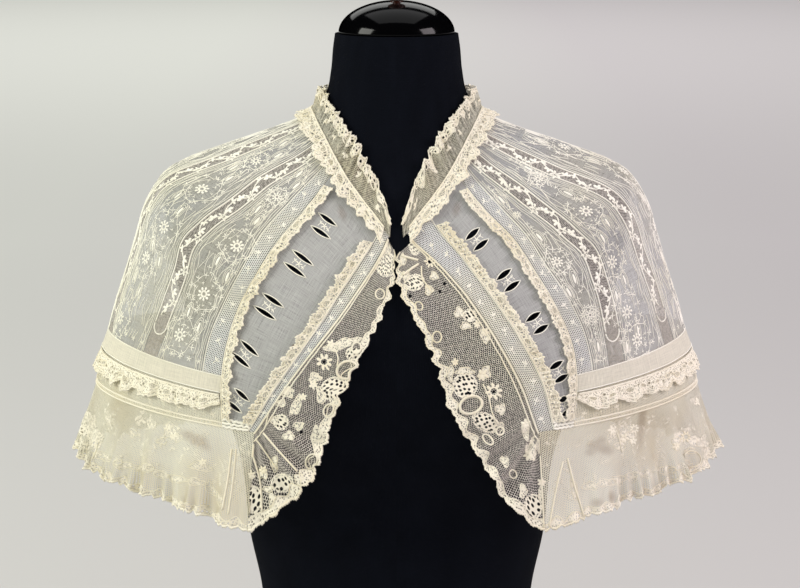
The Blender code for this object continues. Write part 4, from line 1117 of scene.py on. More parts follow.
def panel_work(cloth, first, columns, rng, shown):
    """Whitework of a body panel: flowers in wreaths of sprigs, pods between them and lines down its edges."""
    work = Stitches(cloth)
    repeat, end = work.sizes.repeat, cloth.down[-1]
    edge = np.linspace(0.0, 1.0, 110)
    width = np.interp(edge, cloth.v, cloth.width)
    for inset, wave in ((0.0016, 0.0002), (0.0034, 0.0006), (0.0056, 0.0012), (0.0078, 0.0018)):
        for near in (0, 1):
            offset = (inset + wave * wobble(edge, rng.integers(999), 9)) / width
            keep = offset < 0.35
            work.cord((offset if near == 0 else 1 - offset)[keep], edge[keep], sides=3)
    spots = [spot for spot in (cloth.spot(x, y)[:2] for x, y in shown) if 0.06 < spot[0] < 0.94]
    places = [(u, float(cloth.length_at(v))) for u, v in spots]
    if not places:
        for column in range(columns):
            start = first - (0.5 * repeat if column % 2 else 0.0)
            places += [((column + 0.5) / columns, y) for y in np.arange(start, end + 0.03, repeat)]
    for u, y in places:
        room = float(np.interp(cloth.row_at(y), cloth.v, cloth.width)) / columns
        scale = min(1.1, max(0.0, (room - 0.006) / 0.036))
        spot = (u, float(cloth.row_at(y)))
        if 0.006 < y < end - 0.008 and scale > 0.3:
            work.stamp("flower", *spot, turn=rng.uniform(0, 40), size=min(1.12, 0.50 + 0.60 * scale))
            if scale > 0.45:
                wreath(work, spot, scale, rng)
        pods(work, u, y + repeat * 0.42, scale, end, rng)
        if y == places[0][1]:
            pods(work, u, y - repeat * 0.42, scale, end, rng)
    down = np.arange(0.012, end - 0.006, 0.0022)
    room = np.interp(cloth.row_at(down), cloth.v, cloth.width)
    for u in np.arange(0.0115, room.max() - 0.009, 0.005):
        lane = (u + 0.0030 * wobble(down / end, rng.integers(999), end / 0.04)) / room.max()
        middle = lane[len(lane) // 2]
        for start in range(0, len(down) - 4, 14):
            part = slice(start, start + rng.integers(6, 14))
            away = [np.hypot((lane[part] - a) * room[part], down[part] - b).min() for a, b in places]
            if min(away) > 0.0085 and 0.04 < middle < 0.96 and room[start] > 0.012:
                work.cord(lane[part], cloth.row_at(down[part]), sides=3)
    return work


def wreath(work, spot, scale, rng):
    """A thin branch round a flower, with a three-armed sprig at each of its turns and leaves inside it."""
    radius = 0.0142 * scale
    arc = np.radians(np.linspace(-165, 165, 34))
    reach = radius * (1 + 0.09 * np.sin(arc * 5 + rng.uniform(0, 6)))
    work.cord(*work.cloth.moved(*spot, np.sin(arc) * reach, -np.cos(arc) * reach), sides=3)
    for a in np.radians(np.arange(-165, 166, 33)):
        x, y = np.sin(a) * radius * 1.06, -np.cos(a) * radius * 1.06
        place = work.cloth.moved(*spot, x + rng.uniform(-1, 1) * 0.0008, y + rng.uniform(-1, 1) * 0.0008)
        work.stamp("sprig", *place, turn=math.degrees(a) + 180 + rng.uniform(-40, 40), size=rng.uniform(0.8, 1.05))
    for a in np.radians((-150, -105, -60, -20, 20, 60, 105, 150)):
        reach = radius * rng.uniform(0.6, 0.74)
        place = work.cloth.moved(*spot, np.sin(a) * reach, -np.cos(a) * reach)
        work.stamp("bud", *place, turn=math.degrees(a) + 180 + rng.uniform(-20, 20), size=0.62)


def pods(work, u, y, scale, end, rng):
    """Long pods side by side, each padded in the middle and outlined with lines open at one end."""
    if y > end - 0.006 or y < 0.008:
        return
    v = work.cloth.row_at(y)
    spread = 0.0072 * max(scale, 0.5)
    around = np.radians(np.linspace(-60, 240, 20))
    for number, x in enumerate((-spread, spread) if scale > 0.5 else (0.0,)):
        turn = rng.uniform(-14, 2)
        spot = work.cloth.moved(u, v, x, (number - 0.5) * 0.009)
        work.stamp("pod", *spot, turn=turn)
        for across, along in ((0.0025, 0.0068), (0.0038, 0.0088)):
            arc = swung(np.cos(around) * across, np.sin(around) * along, turn)
            work.cord(*work.cloth.moved(*spot, *arc), sides=3)
        work.stamp("star", *work.cloth.moved(*spot, 0.0006, 0.0118), turn=rng.uniform(0, 60), size=0.85)
        work.stamp("sprig", *work.cloth.moved(*spot, 0.0, -0.0112), turn=180 + rng.uniform(-20, 20), size=0.85)
    for x, up in ((-2.0, 0.3), (2.0, -0.5), (0.0, 1.5), (0.0, -1.6)):
        place = work.cloth.moved(u, v, spread * x * 0.85, 0.008 * up)
        work.stamp("sprig", *place, turn=rng.uniform(0, 360), size=0.75)


def vine(work, start, stop, pitch=0.03, swing=0.24):
    """A leafy vine down the middle of an insertion, between its corded edges."""
    cloth = work.cloth
    y = np.arange(start, stop, 0.002)
    lean = 0.0035 * wobble(y / stop, 5, 9)
    work.cord(0.5 + swing * np.sin(2 * math.pi * (y + lean) / pitch), cloth.row_at(y), width=0.0013, height=0.0006)
    for number in range(int((stop - start) / (pitch / 4))):
        at = start + (number + 0.5) * pitch / 4
        u = 0.5 + swing * math.sin(2 * math.pi * at / pitch)
        spot = (u, cloth.row_at(at))
        if number % 4 == 2:
            work.stamp("eyelet", *spot, turn=number * 25, size=1.3)
        elif number % 2:
            work.stamp("trefoil", *spot, turn=90 if number % 4 == 1 else -90, size=1.0)
        else:
            work.stamp("trefoil", *spot, turn=number * 31, size=0.75)


class COLLAR_OT_panels(CollarOperator, bpy.types.Operator):
    """Builds the embroidered lawn panels and the net insertions between them"""

    bl_idname = "collar.panels"
    bl_label = "Panels and insertions"

    def execute(self, context):
        rng = np.random.default_rng(7)
        firsts = {LEFT: (0.06, 0.072, 0.08, 0.07, 0.075), RIGHT: (0.058, 0.07, 0.08, 0.072, 0.075)}
        for word, side in SIDES.items():
            low = front_seam(side, "strip_outer")
            for number in range(1, INSERTION_COUNT + 2):
                high = insertion_seam(side, number, -1)
                cloth = body_cloth(side, low, high, PANEL_END)
                columns = max(1, round(float(cloth.width.max()) / 0.058))
                node = f"{word}_panel_{number}"
                work = panel_work(cloth, firsts[side][number - 1], columns, rng, PANEL_FLOWERS.get(node, ()))
                self.border(work, cloth)
                put_piece(node, "panel_lawn", work, "white")
                if number <= INSERTION_COUNT:
                    low = insertion_seam(side, number, 1)
                    self.insertion(f"{word}_insertion_{number}", body_cloth(side, high, low, PANEL_END, 0.0016))
        halves = [body_cloth(side, insertion_seam(side, INSERTION_COUNT + 1, -1), lambda s: np.full(np.shape(s), BACK),
                             PANEL_END, 0.0016).points for side in (LEFT, RIGHT)]
        self.insertion("back_insertion", Cloth(np.concatenate([halves[0], halves[1][:, -2::-1]], axis=1)))
        return {"FINISHED"}

    def border(self, work, cloth):
        """A row of small stars along the foot of a panel."""
        count = max(1, round(float(cloth.width[-1]) / 0.011))
        for number in range(count):
            work.stamp("star", (number + 0.5) / count, cloth.row_at(cloth.down[-1] - 0.0075), turn=number * 17)

    def insertion(self, node, cloth):
        """A dark strip of net with corded edges that meet in a round end above the panels' foot."""
        work = Stitches(cloth)
        end = cloth.down[-1] - 0.028
        vine(work, 0.004, end - 0.006)
        y = np.arange(0.0, end, 0.0025)
        for u in (0.055, 0.945):
            work.cord(u, cloth.row_at(y), width=work.sizes.cord)
        turn = np.linspace(0, math.pi, 15)
        bulge = 0.445
        work.cord(0.5 + bulge * np.cos(turn), cloth.row_at(end + 0.0085 * np.sin(turn)), width=work.sizes.cord)
        put_piece(node, "insertion_net", work, "white")


class COLLAR_OT_front(CollarOperator, bpy.types.Operator):
    """Builds the net strips and the slotted lawn bands of the fronts"""

    bl_idname = "collar.front"
    bl_label = "Front strips and lawn bands"

    def execute(self, context):
        rng = np.random.default_rng(11)
        for word, side in SIDES.items():
            first, second, third, fourth = (front_seam(side, column) for column in FRONT_SEAM_COLUMNS[1:])
            for node, low, high, foot in ((f"{word}_front_strip", first, second, BODY_END),
                                          (f"{word}_side_strip", third, fourth, PANEL_END)):
                cloth = body_cloth(side, low, high, foot, 0.0022)
                work = Stitches(cloth)
                for y in np.arange(0.01, cloth.down[-1] - 0.004, 0.0165):
                    u = 0.5 + rng.uniform(-0.14, 0.14)
                    work.stamp("bud", u, cloth.row_at(y), turn=rng.uniform(-40, 40), size=1.25)
                edge = np.linspace(0, 1, 90)
                work.cord(0.97, edge, width=work.sizes.line * 1.3)
                put_piece(node, "strip_net", work, "white")
            self.band(word, side, second, third)
        return {"FINISHED"}

    def band(self, word, side, low, high):
        """The plain lawn band with its pairs of worked ribbon slots and a sprig between the two of a pair."""
        cloth = body_cloth(side, low, high, BODY_END, 0.0012)
        work = Stitches(cloth)
        holes, width = [], SLOT_WIDTH[side]
        for share, angle, length, turn in SLOTS[side]:
            target = collar_point(share, angle, side)
            flat = np.linalg.norm(cloth.points - target, axis=-1)
            row, column = np.unravel_index(flat.argmin(), flat.shape)
            v, u = row / (cloth.points.shape[0] - 1), column / (cloth.points.shape[1] - 1)
            for half in (-0.5, 0.5):
                place = cloth.moved(u, v, *swung(0.0, half * SLOT_PAIR_GAP, turn))
                holes.append((*place, length / 2 * 0.96, width / 2, turn))
                # Buttonhole stitch goes round each slot.
                t = np.linspace(-1, 1, 13)
                back = t[::-1][1:-1]
                x = np.concatenate([t * length / 2, back * length / 2])
                y = np.concatenate([(1 - t * t) * width / 2, -(1 - back ** 2) * width / 2])
                work.cord(*cloth.moved(*place, *swung(x, y, turn)), width=0.001, height=0.0006, closed=True)
            work.stamp("star", u, v, turn=15, size=1.25)
            for x, lean in ((-0.0048, 200), (0.0048, 20)):
                work.stamp("bud", *cloth.moved(u, v, *swung(x, 0.0, turn)), turn=turn + lean, size=0.9)
        across = np.linspace(0, 1, 40)
        for v in (0.968, 0.982, 0.996):
            work.cord(across, v + 0.003 * wobble(across, int(v * 1000), 5), width=0.0026, height=0.0016)
        slots = ovals(cloth, holes, 0.0009, lens=True)
        stain_and_shade = np.maximum(ovals(cloth, [(0.55, 0.1, 0.006, 0.004, 20)], 0.004) * 0.3,
                           ovals(cloth, [(0.12, 0.6, 0.0016, 0.0022, 20)], 0.0015) * (1.0 if side == LEFT else 0.0))
        put_piece(f"{word}_lawn_band", "lawn", work, "white", {"hole": slots, "stain_and_shade": stain_and_shade})


def lace_edge(work, lobe, depth, inner, seed=1):
    """The worked edge of a lace: a picoted rim, a wavy cord inside it, and close work between, which is given
    as a painted value."""
    cloth = work.cloth
    length, foot = float(cloth.width[-1]), float(cloth.down[-1])
    t = np.linspace(0, 1, max(8, int(length / 0.0005)))

    def back(at):
        s = at * length
        wave = 0.35 * np.sin(2 * math.pi * s / (lobe * 2.1) + seed)
        return inner * (1 + wave + 0.3 * wobble(at, seed, length / 0.02))

    s = t * length
    out = depth * np.abs(np.sin(math.pi * s / lobe + wobble(t, seed + 1, length / 0.05)))
    out = out + 0.0006 * np.abs(np.sin(math.pi * s / 0.0017)) ** 3 + 0.0003 * wobble(t, seed + 2, length / 0.004)
    work.ribbon(t, 1 + (out * 0.6 - 0.0014) / foot, 1 + out / foot)
    work.cord(t[::3], 1 - back(t[::3]) / foot, width=0.0009, sides=3)
    left = foot * (1 - cloth.v)[:, None]
    return np.clip((back(np.linspace(0, 1, cloth.points.shape[1])) - left) / 0.0008 + 0.5, 0, 1)


def rings(work, pitch, seed):
    """Oval rings with net inside and eyelets between them, along a narrow lace. Gives the painted net and holes."""
    cloth = work.cloth
    rng = np.random.default_rng(seed)
    length = float(cloth.width.mean())
    count = max(2, round(length / pitch))
    holes, nets = [], []
    for number in range(count):
        u = (number + rng.uniform(0.35, 0.65)) / count
        if number % 2:
            spot, size = (u, 0.50 + rng.uniform(-0.08, 0.06)), rng.uniform(0.75, 1.1)
            work.loop(*spot, 0.0042 * size, 0.0024 * size, rng.uniform(-14, 14), 0.0012)
            nets.append((*spot, 0.0036 * size, 0.0019 * size, 0.0))
        else:
            for shift, v in ((-0.0022, 0.4), (0.0, 0.6), (0.0024, 0.42)):
                spot = (u + (shift + rng.uniform(-1, 1) * 0.0006) / length, v + rng.uniform(-0.08, 0.08))
                holes.append((*spot, 0.0009, 0.0008, 0.0))
                work.stamp("picot", *spot, size=rng.uniform(0.8, 1.1))
    return {"hole": ovals(cloth, holes, 0.0005), "dense": 1 - ovals(cloth, nets, 0.0006)}


def narrow_lace(node, cloth, pitch, edge, top, seed):
    """Works a narrow lace with rings, a picoted edge and a cord along its top."""
    work = Stitches(cloth)
    marks = rings(work, pitch, seed)
    lace_edge(work, *edge, seed)
    work.cord(np.linspace(0, 1, cloth.points.shape[1]), top[0], width=top[1])
    put_piece(node, "ground_lace", work, "cream", marks, True)


class COLLAR_OT_trims(CollarOperator, bpy.types.Operator):
    """Builds the narrow gathered laces beside the lawn bands and the two laces round the neck"""

    bl_idname = "collar.trims"
    bl_label = "Narrow laces and neck frill"

    def execute(self, context):
        for word, side in SIDES.items():
            for name, column, inwards in (("inner", "lawn_inner", 1), ("outer", "lawn_outer", -1)):
                self.lawn_trim(word, side, name, front_seam(side, column), inwards)
            self.neck_frill(word, side)
            self.neck_trim(word, side)
        return {"FINISHED"}

    def lawn_trim(self, word, side, name, seam, inwards):
        """A narrow puckered lace whose free edge stands over the lawn band."""
        first = 0.3
        for _ in range(6):
            first = float(seam_share(seam(np.asarray(first)))) + 0.070
        t = np.linspace(0, 1, 321)
        share = first + (0.975 - first) * t
        base = seam(share)
        across = np.linspace(0, 1, 9)[:, None]
        seed = 40 + 2 * side + inwards
        width = 0.0088 + 0.0013 * wobble(t, seed, 13)
        reach = inwards * width / degree_width(share, base, side)
        pucker = 0.5 + 0.5 * wobble(t, seed + 1, 14)
        crimp = wobble(t, seed + 2, 46)
        lift = 0.0009 + across * (0.0010 + 0.0026 * pucker) + np.sin(across * 2.2) * 0.0007 * crimp
        angle = base + reach * across * (1 - 0.10 * (1 - pucker)) + reach * 0.06 * crimp * across
        cloth = Cloth(lifted(share + 0 * across + 0.0016 * wobble(t, seed + 3, 40) * across, angle, side, lift))
        narrow_lace(f"{word}_lawn_trim_{name}", cloth, 0.008, (0.0058, 0.001, 0.002), (0.04, 0.0012), seed)

    def neck_frill(self, word, side):
        """The wide net frill that stands round the neck, its worked edge upwards."""
        t = np.linspace(0, 1, 481)
        angle = 2 + (BACK - 2) * t
        foot = seam_share(angle) + 0.004
        top = smooth(NECK_FRILL_EDGE, 1, angle)
        ease = np.clip(np.minimum(t, 1 - t) * 20, 0, 1)
        wave = wobble(t, 60 + side, 13) * ease
        ripple = wobble(t, 64 + side, 34) * ease
        down = np.linspace(0, 1, 19)[:, None]
        share = foot * (1 - down) + (top - 0.010 * np.abs(wave) + 0.005 * ripple) * down
        lift = 0.0034 * np.sin(math.pi * 0.60 * down) + (0.0030 * wave + 0.0016 * ripple) * down
        lift = lift + 0.0007 * wobble(t, 68 + side, 60) * np.sin(math.pi * down)
        cloth = Cloth(lifted(share, angle + 0.5 * ripple * down, side, lift))
        work = Stitches(cloth)
        dense = lace_edge(work, 0.007, 0.0013, 0.0062, 60 + side)
        length, foot = float(cloth.width[-1]), float(cloth.down[-1])
        rng = np.random.default_rng(60 + side)
        holes = []
        for number in range(round(length / 0.0046)):
            spot = ((number + rng.uniform(0.3, 0.7)) * 0.0046 / length, 1 - rng.uniform(0.0024, 0.0048) / foot)
            holes.append((*spot, 0.001, 0.0009, 0.0))
            work.stamp("picot", *spot, size=rng.uniform(0.9, 1.2))
            if number % 4 == 0:
                work.loop(spot[0], 1 - 0.0058 / foot, 0.0028, 0.0017, rng.uniform(-30, 30), 0.0012)
            if number % 6 == 2:
                work.stamp("trefoil", spot[0], 0.45, turn=rng.uniform(-60, 240), size=0.7)
        node = f"{word}_neck_frill"
        marks = {"dense": dense, "hole": ovals(cloth, holes, 0.0005)}
        put_piece(node, "frill_net", work, "cream", marks, True)

    def neck_trim(self, word, side):
        """The narrow cream lace that falls outwards from the neck seam."""
        t = np.linspace(0, 1, 421)
        angle = 4 + (BACK - 4) * t
        ease = np.clip((1 - t) * 20, 0, 1)
        wave = 0.5 + 0.5 * wobble(t, 80 + side, 13) * ease
        crimp = wobble(t, 84 + side, 40)
        top = seam_share(angle) - 0.007
        across = np.linspace(0, 1, 10)[:, None]
        share = top + across * (0.058 * (1 - 0.28 * (1 - wave)) + 0.004 * crimp)
        lift = 0.0014 + across * (0.0008 + 0.0036 * wave) + 0.0010 * crimp * np.sin(across * 2.3)
        cloth = Cloth(lifted(share, angle + 0.45 * crimp * across, side, lift))
        narrow_lace(f"{word}_neck_trim", cloth, 0.008, (0.006, 0.0011, 0.0022), (0.05, 0.0016), 80 + side)


class COLLAR_OT_lower(CollarOperator, bpy.types.Operator):
    """Builds the tuck, the corded net band and its gathered frill"""

    bl_idname = "collar.lower"
    bl_label = "Tuck, lower band and frill"

    def execute(self, context):
        for word in ("left", "back", "right"):
            count = 200 if word != "back" else 220
            self.tuck(word, count)
            self.lower_band(word, count)
            self.frill(word)
        return {"FINISHED"}

    def strip(self, word, shares, count, lift, inset=0.0):
        """The shape of one length of a band between two shares."""
        start = front_seam(SIDES.get(word, LEFT), "lawn_outer")(shares) + inset
        angle, side = band_places(word, start, count)
        return Cloth(lifted(shares[:, None] + 0 * angle, angle, side, lift + 0 * angle))

    def tuck(self, word, count):
        """The plain lawn tuck, whose turned edge stands off the band below it."""
        down = np.linspace(0, 1, 9)[:, None]
        t = np.linspace(0, 1, count + 1)
        lift = 0.0016 * down + 0.0005 * down * np.sin(t * 37) * np.sin(t * 11 + 1)
        cloth = self.strip(word, 0.840 + 0.052 * down[:, 0], count, lift)
        work = Stitches(cloth)
        for v, width in ((0.04, 0.0009), (0.97, 0.0011)):
            work.cord(t, v, width=width)
        put_piece(f"{word}_tuck", "tuck_lawn", work, "white", gathered=True)

    def lower_band(self, word, count):
        """The net band with small sprigs and the two cords of the seam at its foot."""
        shares = np.linspace(0.886, 1.0, 14)
        cloth = self.strip(word, shares, count, 0.0)
        work = Stitches(cloth)
        t = np.linspace(0, 1, count + 1)
        foot = cloth.down[-1]
        for inset in (0.0008, 0.0046):
            work.cord(t, cloth.row_at(foot - inset), width=0.0017, height=0.0011)
        bars = int(cloth.width[-1] / 0.0022)
        for number in range(bars):
            ends = cloth.row_at(foot - np.array([0.0042, 0.0012]))
            work.cord((number + 0.5) / bars, ends, width=0.0006, sides=3)
        for number in range(int(cloth.width[-1] / 0.014)):
            u, v = (number + 0.5) * 0.014 / cloth.width[-1], cloth.row_at(foot - 0.0100 - 0.002 * (number % 2))
            work.stamp("bud", u, v, turn=20 * (number % 3) - 20, size=1.1)
        put_piece(f"{word}_lower_band", "hem_net", work, "cream", gathered=True)

    def frill(self, word):
        """The narrow lace gathered along the top of the net band."""
        count = 520
        t = np.linspace(0, 1, count + 1)
        ends = np.clip(np.minimum(t, 1 - t) * 25, 0, 1)
        wave = 0.5 + 0.5 * wobble(t, 90 + len(word), 17)
        crimp = wobble(t, 94 + len(word), 38)
        down = np.linspace(0, 1, 10)[:, None]
        lift = 0.0016 + down * (0.0012 + ends * 0.0036 * wave) + ends * 0.0010 * crimp * np.sin(down * 2.4)
        shares = 0.897 + 0.052 * down[:, 0]
        start = front_seam(SIDES.get(word, LEFT), "lawn_outer")(shares) + 0.4
        angle, side = band_places(word, start, count)
        angle = angle + down * ends * 0.12 * crimp
        share = 0.897 + 0.052 * down * (0.45 + 0.55 * ends)
        share = share + down * (0.008 * wobble(t, 97 + len(word), 13) + 0.002 * crimp)
        cloth = Cloth(lifted(share + 0 * angle, angle, side, lift + 0 * angle))
        narrow_lace(f"{word}_lower_frill", cloth, 0.0085, (0.0075, 0.001, 0.0022), (0.06, 0.0016), 90 + len(word))


def spray(work, u, v, turn, size, rng):
    """A spray of lace leaves and a flower on a stem."""
    cloth = work.cloth

    def at(x, y):
        return cloth.moved(u, v, *swung(x * size, y * size, turn))

    t = np.linspace(0, 1, 12)
    work.cord(*at(0.004 * np.sin(3 * t), 0.022 * t - 0.011), width=0.0011)
    for x, y, way in ((0.004, -0.006, 20), (-0.003, -0.002, 160), (0.005, 0.003, 35), (-0.004, 0.006, 140)):
        work.stamp("frond", *at(x, y), turn=turn + way - 90, size=size * rng.uniform(0.55, 0.75))
    work.stamp("bloom", *at(0.001, 0.0125), turn=turn, size=0.62 * size)


class COLLAR_OT_flounces(CollarOperator, bpy.types.Operator):
    """Builds the wide lace flounces down the fronts and round the hem"""

    bl_idname = "collar.flounces"
    bl_label = "Front and hem flounces"

    def execute(self, context):
        for word, side in SIDES.items():
            self.front(word, side)
        for word in ("left", "back", "right"):
            self.hem(word)
        return {"FINISHED"}

    def front(self, word, side):
        """The net flounce from the closure to the corner, pleated round the corner."""
        t = np.linspace(0, 1, 401)
        seam_at, edge_angle, edge_at = (smooth(FRONT_FLOUNCE, column + 3 * (side == RIGHT), t) for column in (1, 2, 3))
        seam_angle = front_seam(side, "flounce_seam")(seam_at)
        corner = (t - 0.62) / 0.38
        pleat = np.clip(corner * 3.8, 0, 1) * np.clip((1 - t) / 0.06, 0, 1)
        wave = 0.0012 * wobble(t, 20 + side, 5) + 0.0030 * pleat * np.sin(2 * math.pi * 4 * corner)
        down = np.linspace(0, 1, 60)[:, None]
        angle = seam_angle * (1 - down) + edge_angle * down
        share = seam_at * (1 - down) + edge_at * down
        points = lifted(share, angle, side, wave * np.sin(math.pi * down / 2) + 0.0002)
        lobes = 0.0026 * np.abs(np.sin(math.pi * 13 * t + wobble(t, 28, 4))) + 0.0010 * wobble(t, 24 + side, 22)
        points = points + unit(points[-1] - points[-2]) * lobes[:, None] * down[..., None]
        cloth = Cloth(points)
        work = Stitches(cloth)
        dense = lace_edge(work, 0.0085, 0.0012, 0.0052, 20 + side)
        for v, width in ((0.012, 0.0017), (0.085, 0.0013)):
            work.cord(t, v, width=width, height=0.001)
        node = f"{word}_front_flounce"
        marks = self.lace(work, node, dense)
        put_piece(node, "net", work, "cream", marks, True)

    def lace(self, work, node, dense):
        """Works the lace that the photograph shows on a flounce, and gives its painted values."""
        cloth, lace = work.cloth, LACE[node]
        for x, y, across, along, turn, width in lace["rings"]:
            work.round(x, y, across, along, turn, width * 1e-4)
        for x, y, radius in lace["flowers"]:
            work.draw("bloom", x, y, turn=x, size=radius * PIXEL / 0.0073)
        for x, y, turn, size in lace["leaves"]:
            work.draw("frond", x, y, turn=turn - 90, size=size * 0.85)
        for width, line in lace["lines"]:
            work.trace(line, width * 1e-4)
        for x, y, across, along, turn in lace["close"]:
            work.round(x, y, across, along, turn, 0.0007, lobes=0.2)
        opened = seen_ovals(cloth, lace["open"])
        border = seen_ovals(cloth, [(x, y, a + 1.6, b + 1.6, turn) for x, y, a, b, turn in lace["open"]])
        inside = seen_ovals(cloth, [ring[:5] for ring in lace["rings"]])
        close = seen_ovals(cloth, lace["close"], lobes=0.2) * (0.50 if "hem" in node else 0.66)
        dense = np.maximum.reduce([dense, border, close]) * (1 - opened) * (1 - inside)
        # The brown ovals are stains, and painted shade on the lobes and folds.
        return {"open": opened, "dense": dense, "stain_and_shade": 0.45 * seen_ovals(cloth, lace.get("stain_and_shade", ()), 5),
                "hole": seen_ovals(cloth, [(x, y, 1.7, 1.7, 0) for x, y in lace["eyes"]], 0.8)}

    def hem(self, word):
        """One length of the ruffled hem flounce, with sprays above its worked edge."""
        waves = 12 if word == "back" else 10
        seed = 100 + len(word)
        t = np.linspace(0, 1, 481)
        down = np.linspace(0, 1, 34)[:, None]
        start = np.interp(down[:, 0], *np.transpose(HEM_START))
        angle, side = band_places(word, start, 480)
        phase = 2 * math.pi * waves * t
        scallop = 0.013 * (0.5 + 0.5 * np.cos(phase))
        corner = 0.0 if word == "back" else 0.045 * np.exp(-t * 9)
        ease = np.clip(np.minimum(t, 1 - t) * waves, 0, 1)
        lobes = 0.010 * np.abs(wobble(t, seed, waves * 2.6)) * ease
        share = BODY_END + (1.35 + corner - scallop - lobes + 0.004 - BODY_END) * down
        slow = np.sin(phase / 3.3 + 0.8)
        folds = wobble(t, seed + 1, waves * 1.6)
        pinch = wobble(t, seed + 2, waves * 3.4)
        lift = ease * (0.0040 * np.sin(phase) * down + 0.0034 * slow * down ** 2 + 0.0026 * folds * down ** 1.3
                       + 0.0034 * pinch * np.clip((down - 0.55) / 0.45, 0, 1))
        cloth = Cloth(lifted(share + 0 * angle, angle + 0.25 * folds * down * ease, side, lift + 0 * angle))
        work = Stitches(cloth)
        dense = lace_edge(work, 0.009, 0.002, 0.0046, seed)
        rng = np.random.default_rng(seed)
        length = float(cloth.width[-1])
        node = f"{word}_hem_flounce"
        marks = {"dense": dense, "open": 0 * dense, "stain_and_shade": 0 * dense}
        if node in LACE:
            marks = self.lace(work, node, dense)
        fillings = []
        # Faint crumbs of worn lace all over the net.
        close = [(rng.uniform(0, 1), rng.uniform(0.05, 0.7), *rng.uniform(0.003, 0.008, 2), rng.uniform(0, 90))
                 for _ in range(round(length / 0.004))]
        worn = 0.36 * ovals(cloth, close, 0.004)
        close = []
        count = round(length / 0.04)
        for number in range(count):
            u = (number + 0.5) / count
            if node in LACE and u < 0.66:
                continue
            for place_u, place_v, turn in ((u, 0.36, 180), (u + 0.5 / count, 0.62, 0)):
                place_v += rng.uniform(-0.05, 0.05)
                spray(work, place_u, place_v, turn + rng.uniform(-25, 25), 1.0, rng)
                close.append((place_u, place_v, 0.006, 0.011, 0.0))
            work.loop(u, 0.8, 0.006, 0.0042, rng.uniform(-20, 20), 0.0015, 16)
            fillings.append((u, 0.8, 0.005, 0.0034, 0.0))
            close += [(u, 0.8, 0.0085, 0.0062, 0.0), (u + 0.5 / count, 0.82, 0.01, 0.004, 0.0)]
        opened = ovals(cloth, fillings)
        marks["dense"] = np.maximum(marks["dense"], ovals(cloth, close, 0.002)) * (1 - opened)
        marks["dense"] = np.maximum(marks["dense"], worn)
        marks["open"] = np.maximum(marks["open"], opened)
        # Painted shade: the valleys of the pinched folds near the free edge are coloured brown. The clouds are faint
        # brown patches of wear.
        fold_valley_shade = np.clip(-pinch, 0, 1) * np.clip((down - 0.72) * 5, 0, 1) * ease
        clouds = [(rng.uniform(0, 1), rng.uniform(0.0, 1.0), *rng.uniform(0.008, 0.022, 2), rng.uniform(0, 90))
                  for _ in range(round(length / 0.014))]
        marks["stain_and_shade"] = np.maximum.reduce([marks["stain_and_shade"], 0.30 * fold_valley_shade, 0.13 * ovals(cloth, clouds, 0.014)])
        put_piece(node, "hem_net", work, "cream", marks, True)


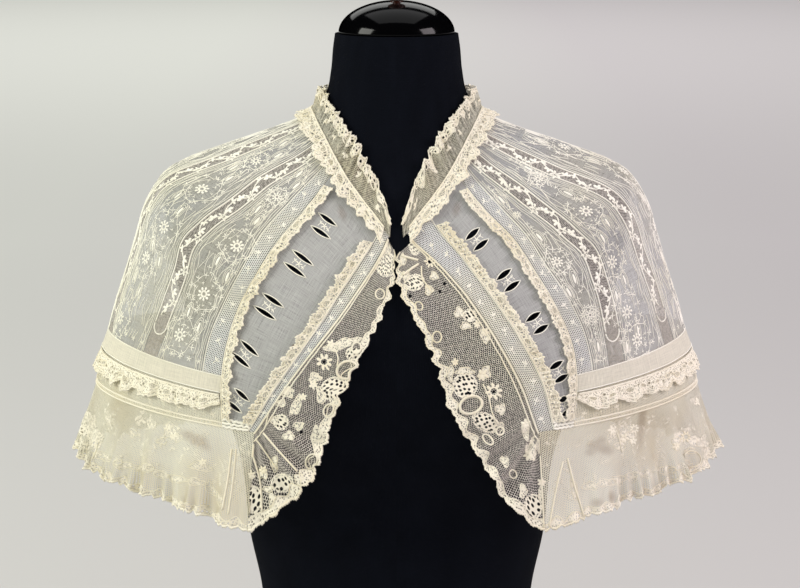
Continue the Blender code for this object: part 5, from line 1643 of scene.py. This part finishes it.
class COLLAR_OT_stage(CollarOperator, bpy.types.Operator):
    """Builds the plain pale floor, the soft studio light and the camera"""

    bl_idname = "collar.stage"
    bl_label = "Stage"

    def execute(self, context):
        scene = context.scene
        bpy.ops.object.select_all(action="DESELECT")
        bpy.ops.mesh.primitive_circle_add(vertices=96, radius=14, fill_type="NGON", location=(0, 0, -0.0005))
        floor = context.object
        floor.name = "floor"
        material, tree, shader, place = new_material("matt_paper_sweep")
        # The paper's left is lit a little warmer than its right, as in the photograph.
        along = add_node(tree, "ShaderNodeSeparateXYZ", {0: place}).outputs
        cool = tuple(c * k for c, k in zip(self.colours.floor, (0.9, 0.84, 0.92)))
        # Painted shade: the paper towards the camera is painted darker.
        near = tuple(c * 0.84 for c in self.colours.floor), tuple(c * 0.84 for c in cool)
        across = ramp(tree, along[0], -0.9, 0.9)
        colour = blend_colour(tree, ramp(tree, along[1], 0.5, 3.5), blend_colour(tree, across, *near),
                              blend_colour(tree, across, tuple(self.colours.floor), cool))
        tree.links.new(colour, shader.inputs["Base Color"])
        shader.inputs["Roughness"].default_value = 0.95
        shader.inputs["Specular IOR Level"].default_value = 0.1
        floor.data.materials.append(material)
        world = bpy.data.worlds.new("studio")
        world.use_nodes = True
        background = world.node_tree.nodes["Background"]
        background.inputs["Color"].default_value = (*linear(0xF2F2F0), 1)
        background.inputs["Strength"].default_value = 0.62
        # The room is dark apart from the lamps, as the neck cap's reflections show.
        scene.world = world
        world.cycles_visibility.glossy = False
        for name, place, power, size, tint in (
                ("key_left", (-3.1, -1.4, 1.9), 83, 1.8, 0xFFFFF6),
                ("key_right", (3.1, -1.3, 1.9), 73, 1.8, 0xFFF4F8),
                ("top", (0.0, 0.4, 3.0), 14, 2.4, 0xFFFFFF),
                ("sweep", (-1.0, 10.0, 6.0), 320, 9.0, 0xFFFFFC)):
            bpy.ops.object.light_add(type="AREA", location=place)
            light = context.object
            light.name = name
            light.data.shape, light.data.size = "SQUARE", size
            light.data.energy = power
            light.data.color = linear(tint)
            aim = Vector((0, 0, 0.5)) if name != "sweep" else Vector((-1.0, 10.5, 0.0))
            light.rotation_euler = (aim - light.location).to_track_quat("-Z", "Y").to_euler()
        target = Vector(LOOK_AT)
        back = Vector((0, -math.cos(LOOK_DOWN), math.sin(LOOK_DOWN)))
        bpy.ops.object.camera_add(location=target + LOOK_FROM * back)
        camera = context.object
        camera.name = "camera"
        camera.rotation_euler = (target - camera.location).to_track_quat("-Z", "Y").to_euler()
        camera.data.lens, camera.data.sensor_width = LENS, SENSOR
        camera.data.clip_start, camera.data.clip_end = 0.05, 100
        scene.camera = camera
        scene.view_settings.view_transform = "Standard"
        scene.cycles.transparent_max_bounces = 48
        return {"FINISHED"}


class COLLAR_PT_sidebar(bpy.types.Panel):
    """Lists the collar's sizes, colours and steps"""

    bl_idname = "COLLAR_PT_sidebar"
    bl_label = "Lace collar"
    bl_space_type = "VIEW_3D"
    bl_region_type = "UI"
    bl_category = "Collar"

    def draw(self, context):
        for group in (context.scene.collar_sizes, context.scene.collar_colours):
            box = self.layout.box()
            for key in group.bl_rna.properties.keys():
                if key not in ("rna_type", "name"):
                    box.prop(group, key)
        for step in STEPS:
            self.layout.operator(step.bl_idname)


STEPS = (COLLAR_OT_threads, COLLAR_OT_form, COLLAR_OT_panels, COLLAR_OT_front, COLLAR_OT_trims, COLLAR_OT_lower,
         COLLAR_OT_flounces, COLLAR_OT_stage)
CLASSES = (CollarSizes, CollarColours, *STEPS, COLLAR_PT_sidebar)


def register():
    for item in CLASSES:
        bpy.utils.register_class(item)
    bpy.types.Scene.collar_sizes = bpy.props.PointerProperty(type=CollarSizes)
    bpy.types.Scene.collar_colours = bpy.props.PointerProperty(type=CollarColours)


def unregister():
    del bpy.types.Scene.collar_colours
    del bpy.types.Scene.collar_sizes
    for item in reversed(CLASSES):
        bpy.utils.unregister_class(item)


def main():
    """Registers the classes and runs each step."""
    register()
    bpy.ops.collar.threads()
    bpy.ops.collar.form()
    bpy.ops.collar.panels()
    bpy.ops.collar.front()
    bpy.ops.collar.trims()
    bpy.ops.collar.lower()
    bpy.ops.collar.flounces()
    bpy.ops.collar.stage()


if __name__ == "__main__":
    main()
